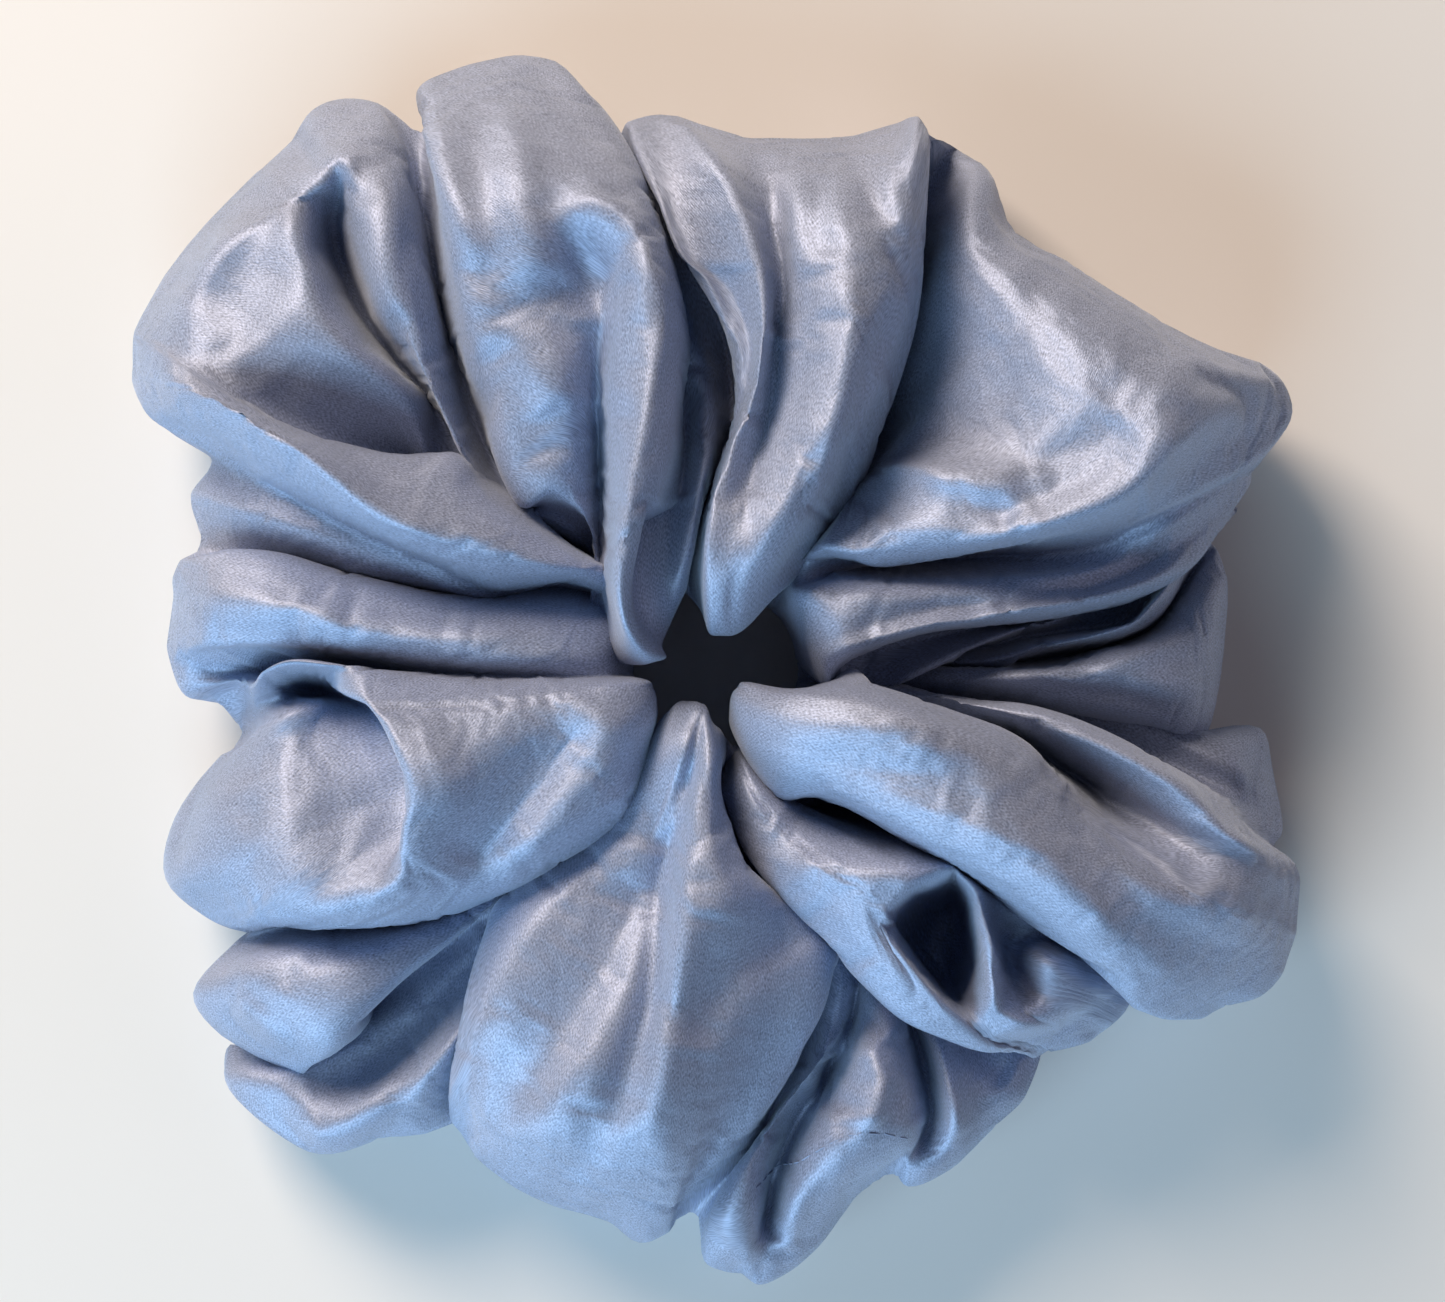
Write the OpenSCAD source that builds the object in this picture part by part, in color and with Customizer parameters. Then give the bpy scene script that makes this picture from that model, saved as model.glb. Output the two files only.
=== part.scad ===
// Oversized satin scrunchie, lying relaxed on a flat surface.
// A strip of satin is sewn along its length into a tube, the tube's two ends are
// joined, and the tube is gathered on a loop of flat elastic.
// Origin: on the axis of the hair opening, at the surface that the scrunchie rests on.

/* [Cover] */
// Usual distance from the axis to the outer end of a fold
cover_r = 76; // [70:1:84]
// Height of the tallest fold
cover_h = 48; // [42:1:58]
// Diameter of the hair opening when nothing stretches it
hole_d = 21; // [18:0.5:24]
// Length of the round, tightly gathered wall of the opening
hole_wall = 18; // [14:1:20]
// How far the deepest creases of the underside lift off the surface
crease_lift = 5; // [2:0.5:6]
// Least thickness of gathered cloth round the inner space
cover_wall = 2; // [2:0.5:4]
// Thickness of one layer of the satin
cloth_t = 0.4; // [0.3:0.05:0.5]

/* [Elastic] */
// Inner diameter of the relaxed elastic loop
elastic_d = 36; // [32:1:42]
// Width of the flat elastic
elastic_w = 6; // [5:0.5:7]
// Thickness of the elastic
elastic_t = 1; // [0.8:0.1:1.4]
// Length over which the elastic's two ends lie on each other
elastic_lap = 12; // [10:1:16]
// Height of the elastic's middle above the surface
elastic_z = 15.5; // [15:0.5:18]

/* [Inner space] */
// Free height above and below the elastic
inner_slack = 1.5; // [1.5:0.5:4]
// Width of the inner space, from the elastic's inner face outwards
inner_w = 24; // [22:1:34]

/* [Seams] */
// Width of the long seam's allowance, which stands up inside the tube
seam_w = 5; // [4:0.5:6]
// Distance from the elastic's inner face to the long seam
seam_offset = 16; // [12:1:18]
// Height of the long seam's stitches above the allowance's foot
seam_stitch_z = 1.2; // [1:0.1:1.6]
// Thickness of the sewing thread
thread_d = 0.4; // [0.3:0.05:0.5]
// Length of one stitch
stitch_l = 2.2; // [1.8:0.1:2.6]
// Gap between two stitches
stitch_gap = 0.8; // [0.6:0.1:1.2]
// Number of zigzag bars across the elastic in each row
zigzag_n = 6; // [4:1:8]
// Angle of the seam that closes the tube
closing_angle = 286; // [280:2:290]

/* [Hidden] */

satin_blue = [0.55, 0.61, 0.73];
elastic_white = [0.86, 0.86, 0.84];
thread_blue = [0.47, 0.54, 0.68];
thread_white = [0.93, 0.93, 0.91];

// Fold lines in order round the ring, each running from the opening to its outer end, as
// [angle near the opening, angle half way, angle at the rim,
//  height near the opening, height half way, height near the rim, reach past cover_r].
// The heights are those of a scrunchie that is usual_h tall.
fold_lines = [
    [-5.4, -6.6, -7.5, 12, 15, 15, -13], [-3, -2.4, -2.5, 17, 30, 28, -11],
    [-1, -0.4, 5, 17, 29, 25, -9], [0.5, 1.3, 9.5, 11, 12, 12, -9.5],
    [2, 4, 13, 15, 27, 24.5, -9.5], [3.2, 6.2, 14.6, 14, 17, 15.5, -8.5],
    [5, 7.8, 15.6, 20, 22, 17, -7.5], [10.8, 10.7, 16.6, 37, 34.5, 25, -6],
    [25, 15.6, 18.2, 35, 24, 18.5, -2.5], [40, 19.8, 20, 26, 15, 18, -1.5],
    [42.5, 22, 23.6, 32, 37, 28, 5.5], [45.5, 24.5, 27.5, 34, 43, 31, 5.5],
    [48.5, 33.5, 36.3, 26, 42, 36, -3], [49.5, 43, 41.8, 22, 34, 34.5, -5],
    [50.5, 50.5, 48.5, 19, 24, 33, -7], [51.7, 54, 55.5, 17, 19, 30, -7.5],
    [52.8, 56.2, 61.2, 15, 16, 27, -2.5], [53.8, 57, 64.8, 15, 13, 15, -5],
    [54.8, 58.2, 66.6, 28, 26, 26.5, 0], [56.2, 62.5, 69, 34.5, 38, 28.5, 0.5],
    [60.5, 66, 71.3, 41, 42, 31.5, -2.5], [75, 76, 80.3, 42, 37.5, 33.5, -7],
    [81.5, 79.5, 85.5, 40, 33, 29, -7.5], [90, 82.5, 93, 41.5, 38.5, 34, -5],
    [93, 88, 97.8, 33, 35.5, 30.5, -5], [94.3, 91, 98.8, 20, 17, 18, -6],
    [96, 92.8, 99.6, 33, 24, 20, -5], [112.4, 93.9, 100.6, 34.5, 22, 17, -1],
    [114.1, 94.8, 101.4, 39, 34, 24.5, 3.5], [122, 99.7, 106.2, 46, 43.5, 28.5, 6.5],
    [129, 105.3, 110.3, 41, 41, 30, 8], [133, 109.5, 113.6, 28.5, 34.5, 31, 8.5],
    [136, 118.4, 118, 29, 40, 33.5, 7.5], [137.6, 131.3, 119.8, 25, 34, 25, 3.5],
    [138.2, 136.3, 120.9, 18, 22, 19.5, 3.5], [138.8, 138.6, 124, 18, 32, 29, 12.5],
    [139.2, 139.3, 126.5, 17, 32, 31, 13], [139.6, 139.9, 130.2, 16, 26, 28, 11.5],
    [140, 140.4, 134, 17, 29, 34.5, 11], [140.5, 141, 144.7, 18.5, 29, 35.5, 11],
    [141.3, 142.3, 150.8, 30, 32, 35, 9.5], [144.5, 153.5, 153.2, 33.5, 41.5, 37, 7.5],
    [150, 158, 156.2, 27, 32.5, 25, 3], [151.3, 159.8, 158.2, 24, 27.5, 23, -5.5],
    [152.5, 162, 161.4, 22, 30, 25.5, -4.5], [154.2, 165, 166.2, 18, 18, 18, -7.5],
    [155.4, 165.9, 167.6, 26, 27, 25.5, -5.5], [162, 169, 170.2, 31.5, 34, 30, -5],
    [176.5, 177, 177.5, 34, 33, 29, -5], [182.3, 178.8, 181.6, 30, 24, 16, -7],
    [184.2, 180.2, 183, 36, 34, 23.5, -9], [187.7, 184.7, 185.6, 39, 39.5, 29, -11],
    [193.2, 189.5, 190, 41, 34, 28, -10.5], [208.5, 201.7, 201, 41, 34, 28, 0.5],
    [217, 208.5, 206.2, 39.5, 42, 29.5, -2.5], [230, 218.5, 210, 35, 36.5, 28, -6.5],
    [232, 221.5, 211, 28, 30.5, 24, -6.5], [232.6, 222.4, 211.8, 18, 16, 16, -4],
    [232.9, 223.2, 213, 17, 17.5, 24, 4], [233.2, 224, 217, 16.5, 20, 26, 4],
    [233.6, 225.2, 223, 16, 20, 25.5, 1.5], [234, 226, 225.3, 15, 12.5, 15.5, 7.5],
    [234.4, 227, 231.3, 15, 17.5, 25, 6], [234.8, 227.7, 234.5, 15, 16, 22.5, -1],
    [235.3, 228.4, 236.3, 14, 12, 12, -8.5], [236.1, 229.3, 237.5, 25, 27, 26.5, -8],
    [237, 231.2, 240.5, 29, 31, 29, -7], [239.5, 237.7, 243.4, 33, 36.5, 31, -5.5],
    [246, 245.3, 248.7, 34.5, 39, 33, -4], [256.4, 258.9, 258, 35, 37.5, 32.5, -3.5],
    [262.3, 263.1, 262.8, 39.5, 41, 30.5, -1], [274, 279.5, 266.8, 35.5, 33, 26, -3.5],
    [275, 287.5, 268, 31, 28.5, 24, -4], [275.6, 289.5, 269.2, 25, 17.5, 16, -5],
    [276, 291.3, 271, 24, 19, 25, 2], [276.4, 292.3, 274.8, 22, 15.5, 16, 4.5],
    [276.8, 293, 277.5, 22, 17.5, 23.5, 3.5], [277.2, 293.6, 286.2, 22, 18.5, 28, -4.5],
    [277.5, 294.1, 292, 22, 17.5, 24, -6.5], [277.8, 294.5, 294.3, 22, 13, 12, -4],
    [278.1, 294.9, 297, 22, 14.5, 21.5, -4], [278.4, 295.3, 301.5, 22, 14.5, 17, -6],
    [278.7, 295.7, 304.5, 22, 12, 11.5, -9.5], [279.3, 296.5, 306.2, 29.5, 32, 28, -10.5],
    [289, 303.3, 308.5, 35.5, 37, 29, -10.5], [293.8, 306, 309.8, 35.5, 23, 29, -9.5],
    [299, 311, 313, 33, 20, 29, -7.5], [301.4, 316.3, 317, 29, 23.5, 29, -7],
    [302.5, 319.3, 319.7, 24, 33.5, 26.5, -6.5], [304, 320.5, 321.5, 24, 20, 14, -7],
    [308.4, 321.4, 323, 35, 36, 27.5, 1], [323.4, 328.1, 328.9, 46, 45, 29.5, 6.5],
    [331.5, 332.2, 331.6, 47, 46, 30, 7.5], [346, 340.3, 335.3, 46, 41.5, 33, 6.5],
    [350.8, 344.3, 337.2, 37.5, 35.5, 33, 5.5], [351.8, 346.6, 339.8, 26, 21, 32, 4],
    [352.4, 348.3, 341.1, 22, 30, 32.5, 3.5], [352.9, 350.2, 342.5, 20, 34.5, 29.5, 2],
    [353.4, 352, 343.9, 18, 29, 25.5, 0], [353.7, 352.5, 345.6, 15, 15, 19, 1],
    [354, 352.8, 349.3, 14, 14.5, 21.5, -2], [354.3, 353.1, 351.4, 13, 14, 18.5, -5]
];
usual_h = 48;             // height of the tallest fold for which fold_lines is written
line_parts = 2;           // columns of the cover's surface for each fold line
ring_points = 28;         // points round each column
trim = 2;                 // how far the gathers reach into the opening before its wall is formed
neck_share = 0.03;        // share of the tube's width that the opening's even wall takes
lip_share = 0.06;         // share of the tube's width at which the folds round off into the wall
lip_height = 0.92;        // height there, as a share of the height near the opening
near_share = 0.17;        // shares of the tube's width at the three stops of a fold line
middle_share = 0.5;
outer_share = 0.85;
brow_share = 0.95;        // share of the tube's width at which a fold's outer end turns down
brow_height = 0.72;       // heights there, and at the outer end, as shares of the height
rim_height = 0.46;        // near the rim
swell = 2;                // how far the folds bulge above the straight runs between their stops
evening = 0.5;            // how far the gathers spread evenly round the opening
even_start = 7;           // angle of the first gather when they are spread evenly
foot_share = 0.12;        // share of the tube's width at which the underside reaches its foot
heel_share = 0.9;         // share of the tube's width at which the underside turns up
rest_h = 24;              // a fold at least this tall rests on the surface
lifted_h = 16;            // and one at most this tall lifts off it by crease_lift
fine = 96;                // smoothness of round parts
needle_play = 0.1;        // how much wider a needle hole is than its thread
tiny = 0.01;

hole_r = hole_d / 2;
throat_r = hole_r - trim;
elastic_r = elastic_d / 2;
inner_r = elastic_r - thread_d;
inner_h = elastic_w + 2 * inner_slack;
inner_bottom = elastic_z - inner_h / 2;
lift = min(crease_lift, inner_bottom - cover_wall);
seam_r = inner_r + seam_offset;
stitch_pitch = stitch_l + stitch_gap;
line_count = len(fold_lines);
columns = line_count * line_parts;

function mix(a, b, share) = a + (b - a) * share;

// A point [distance from the axis, height] turned round the axis
function turned(point, angle) = [point[0] * cos(angle), point[0] * sin(angle), point[1]];

// Values of the fold line at a column, between two lines of the list
function line_at(column) =
    let (i = floor(column / line_parts),
         to = i + 1 < line_count ? fold_lines[i + 1] : fold_lines[0] + [360, 360, 360, 0, 0, 0, 0])
    mix(fold_lines[i], to, column / line_parts - i);

// Height above which the cover stays at a distance from the axis, to hold the inner space,
// which is level over the elastic and rounded off outwards. Its outer end gets twice the wall.
function least_top(r) =
    let (along = (r - inner_r - inner_w / 2) / (inner_w / 2 + 2 * cover_wall))
    along > 1 ? 0
              : elastic_z + (inner_h / 2 + cover_wall) * sqrt(1 - pow(max(0, along), 2));

// Angle of a fold line at a share of the tube's width. It turns most close to the opening.
function line_angle(line, even_angle, share) =
    let (inner = max(0, share - near_share) / (middle_share - near_share))
    share < near_share ? mix(mix(line[0], even_angle, evening), line[0], share / near_share)
        : share < middle_share ? mix(line[0], line[1], inner * (2 - inner))
        : mix(line[1], line[2], (share - middle_share) / (1 - middle_share));

// Point of the cover's surface. A turn of 0 is at the opening, 90 is on top, 180 is the
// outer end and 270 is underneath.
function cover_point(column, turn) =
    let (line = line_at(column),
         share = (1 - cos(turn)) / 2,
         r = mix(throat_r, cover_r + line[6], share),
         angle = line_angle(line, even_start + column * 360 / columns, share),
         heights = [line[3], line[4], line[5]] * cover_h / usual_h,
         end = [1, rim_height * heights[2]],
         crest = max(heights[1], heights[2]),
         foot = lift * max(0, min(1, (rest_h - crest) / (rest_h - lifted_h))),
         top = max(least_top(r), swell * sin(180 * share) + lookup(share, [
             [neck_share, elastic_z + hole_wall / 2], [lip_share, lip_height * heights[0]],
             [near_share, heights[0]], [middle_share, heights[1]],
             [outer_share, heights[2]], [brow_share, brow_height * heights[2]], end])),
         bottom = lookup(share, [
             [neck_share, elastic_z - hole_wall / 2], [foot_share, foot], [heel_share, foot], end]))
    turned([r, turn <= 180 ? top : bottom], angle);

function loop_faces(count_u, count_v) = [
    for (u = [0:count_u - 1]) for (v = [0:count_v - 1])
        let (u2 = (u + 1) % count_u, v2 = (v + 1) % count_v)
        each [[u * count_v + v, u2 * count_v + v, u2 * count_v + v2],
              [u * count_v + v, u2 * count_v + v2, u * count_v + v2]]
];

module gathered_skin() {
    points = [
        for (column = [0:columns - 1]) for (v = [0:ring_points - 1])
            cover_point(column, v * 360 / ring_points)
    ];
    polyhedron(points, loop_faces(columns, ring_points));
}

module inner_profile() {
    difference() {
        union() {
            translate([inner_r, inner_bottom]) square([inner_w / 2, inner_h]);
            intersection() {
                translate([inner_r + inner_w / 2, elastic_z])
                    scale([1, inner_h / inner_w]) circle(r = inner_w / 2, $fn = fine);
                translate([inner_r + inner_w / 2 - tiny, inner_bottom])
                    square([inner_w, inner_h]);
            }
        }
        translate([seam_r - cloth_t, inner_bottom - tiny])
            square([2 * cloth_t, seam_w + tiny]);
    }
}

module satin_cover() {
    color(satin_blue)
        difference() {
            gathered_skin();
            translate([0, 0, -tiny]) cylinder(r = hole_r, h = cover_h, $fn = fine);
            rotate_extrude($fn = fine) inner_profile();
        }
}

module band_layer(inner, angle) {
    rotate_extrude(angle = angle, $fn = fine)
        translate([inner, elastic_z - elastic_w / 2]) square([elastic_t, elastic_w]);
}

lap_angle = elastic_lap / (elastic_r + elastic_t) * 180 / PI;

module elastic_band() {
    color(elastic_white)
        difference() {
            union() {
                band_layer(elastic_r, 360);
                band_layer(elastic_r + elastic_t - tiny, lap_angle);
            }
            for (share = row_shares, i = [0:zigzag_n]) {
                thread(corner(share, i, inside_r), corner(share, i, outside_r),
                       thread_d + needle_play);
            }
        }
}

// A straight piece of thread between two points
module thread(from, to, d = thread_d) {
    run = to - from;
    translate(from)
        rotate([0, acos(run[2] / norm(run)), atan2(run[1], run[0])])
            cylinder(d = d, h = norm(run), $fn = fine);
}

// Rows of zigzag that join the two layers of the lap: the thread lies on both faces of
// the elastic, and goes through a needle hole at each corner
row_shares = [0.25, 0.75];
bar_inset = 0.2;
half_step = stitch_gap / 2 / elastic_r * 180 / PI;
zigzag_reach = elastic_w / 2 - thread_d * 2;
inside_r = elastic_r - thread_d / 2 - tiny;
outside_r = elastic_r + 2 * elastic_t + thread_d / 2;
function corner(share, i, r) =
    turned([r, elastic_z + mix(-zigzag_reach, zigzag_reach, i / zigzag_n)],
           lap_angle * share + (i % 2 == 0 ? -half_step : half_step));

module elastic_join_stitches() {
    color(thread_white)
        for (share = row_shares) {
            for (i = [0:zigzag_n]) {
                thread(corner(share, i, elastic_r), corner(share, i, elastic_r + 2 * elastic_t));
            }
            for (i = [0:zigzag_n - 1], r = [inside_r, outside_r]) {
                from = corner(share, i, r);
                to = corner(share, i + 1, r);
                thread(mix(from, to, bar_inset), mix(from, to, 1 - bar_inset));
            }
        }
}

// Stitches along both faces of the allowance that stands up inside the tube
module long_seam_stitches() {
    count = floor(2 * PI * seam_r / stitch_pitch);
    color(thread_blue)
        for (side = [-1, 1], i = [0:count - 1]) {
            r = seam_r + side * (cloth_t + thread_d / 2);
            rotate([0, 0, i * 360 / count])
                translate([r, 0, inner_bottom + seam_stitch_z])
                    rotate([90, 0, 0])
                        cylinder(d = thread_d, h = stitch_l, center = true, $fn = fine);
        }
}

// The closing seam follows a fold line. These are its points round the tube and the length
// of seam up to each of them.
closing_column = line_parts * min([for (i = [0:line_count - 1])
                                   if (fold_lines[i][2] >= closing_angle) i]);
closing_points = [for (v = [0:ring_points])
                  cover_point(closing_column, v * 360 / ring_points)];
function run_up_to(i) = i == 0 ? 0 : run_up_to(i - 1)
                                     + norm(closing_points[i] - closing_points[i - 1]);
closing_runs = [for (i = [0:ring_points]) run_up_to(i)];
function closing_point(run) =
    let (i = max([for (k = [0:ring_points - 1]) if (closing_runs[k] <= run) k]),
         share = (run - closing_runs[i]) / (closing_runs[i + 1] - closing_runs[i]))
    mix(closing_points[i], closing_points[i + 1], share);
function distance_from_axis(point) = norm([point[0], point[1]]);
function above_surface(point) = [point[0], point[1], max(point[2], thread_d / 2)];

// A row of stitches round the tube, half sunk in the cloth, where the tube's ends meet
module closing_seam_stitches() {
    length = closing_runs[ring_points];
    count = floor(length / stitch_pitch);
    color(thread_blue)
        for (i = [0:count - 1]) {
            from = closing_point(length * i / count);
            to = closing_point(length * i / count + stitch_l);
            if (min(distance_from_axis(from), distance_from_axis(to)) > hole_r + trim) {
                round_ring = [-from[1], from[0], 0];
                outward = cross(to - from, round_ring);
                sunk = -outward / norm(outward) * thread_d / 4;
                thread(above_surface(from + sunk), above_surface(to + sunk));
            }
        }
}

satin_cover();
elastic_band();
elastic_join_stitches();
long_seam_stitches();
closing_seam_stitches();
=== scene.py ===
"""An oversized scrunchie of dusty blue satin.

A strip of satin is sewn along its length into a tube, the tube is gathered on a loop of flat
elastic, and its two ends are joined. The cloth lies in deep folds round a small hair opening.
"""
import math

import bmesh
import bpy
import numpy as np
from bpy.props import FloatProperty, FloatVectorProperty, IntProperty, PointerProperty
from mathutils import Matrix, Vector
from mathutils.bvhtree import BVHTree


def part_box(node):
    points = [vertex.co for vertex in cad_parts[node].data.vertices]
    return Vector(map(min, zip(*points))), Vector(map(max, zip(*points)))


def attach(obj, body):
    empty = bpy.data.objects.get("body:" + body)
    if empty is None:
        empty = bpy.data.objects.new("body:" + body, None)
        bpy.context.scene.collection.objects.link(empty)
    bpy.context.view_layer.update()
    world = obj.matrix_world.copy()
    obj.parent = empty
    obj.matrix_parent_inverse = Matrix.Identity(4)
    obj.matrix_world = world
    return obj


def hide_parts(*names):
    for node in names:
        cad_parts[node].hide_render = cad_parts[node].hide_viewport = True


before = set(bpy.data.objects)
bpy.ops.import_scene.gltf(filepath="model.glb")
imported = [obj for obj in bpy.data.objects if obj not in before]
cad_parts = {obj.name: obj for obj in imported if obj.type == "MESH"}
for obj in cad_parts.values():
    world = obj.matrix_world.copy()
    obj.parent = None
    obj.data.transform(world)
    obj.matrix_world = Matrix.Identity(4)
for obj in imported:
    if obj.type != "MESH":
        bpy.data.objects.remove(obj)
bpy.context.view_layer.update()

bl_info = {
    "name": "Satin scrunchie",
    "version": (1, 0, 0),
    "blender": (4, 5, 0),
    "location": "3D View > Sidebar > Scrunchie",
    "description": "Builds a gathered satin scrunchie and a plain stage for it",
    "category": "Add Mesh",
}

MM = 0.001

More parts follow.
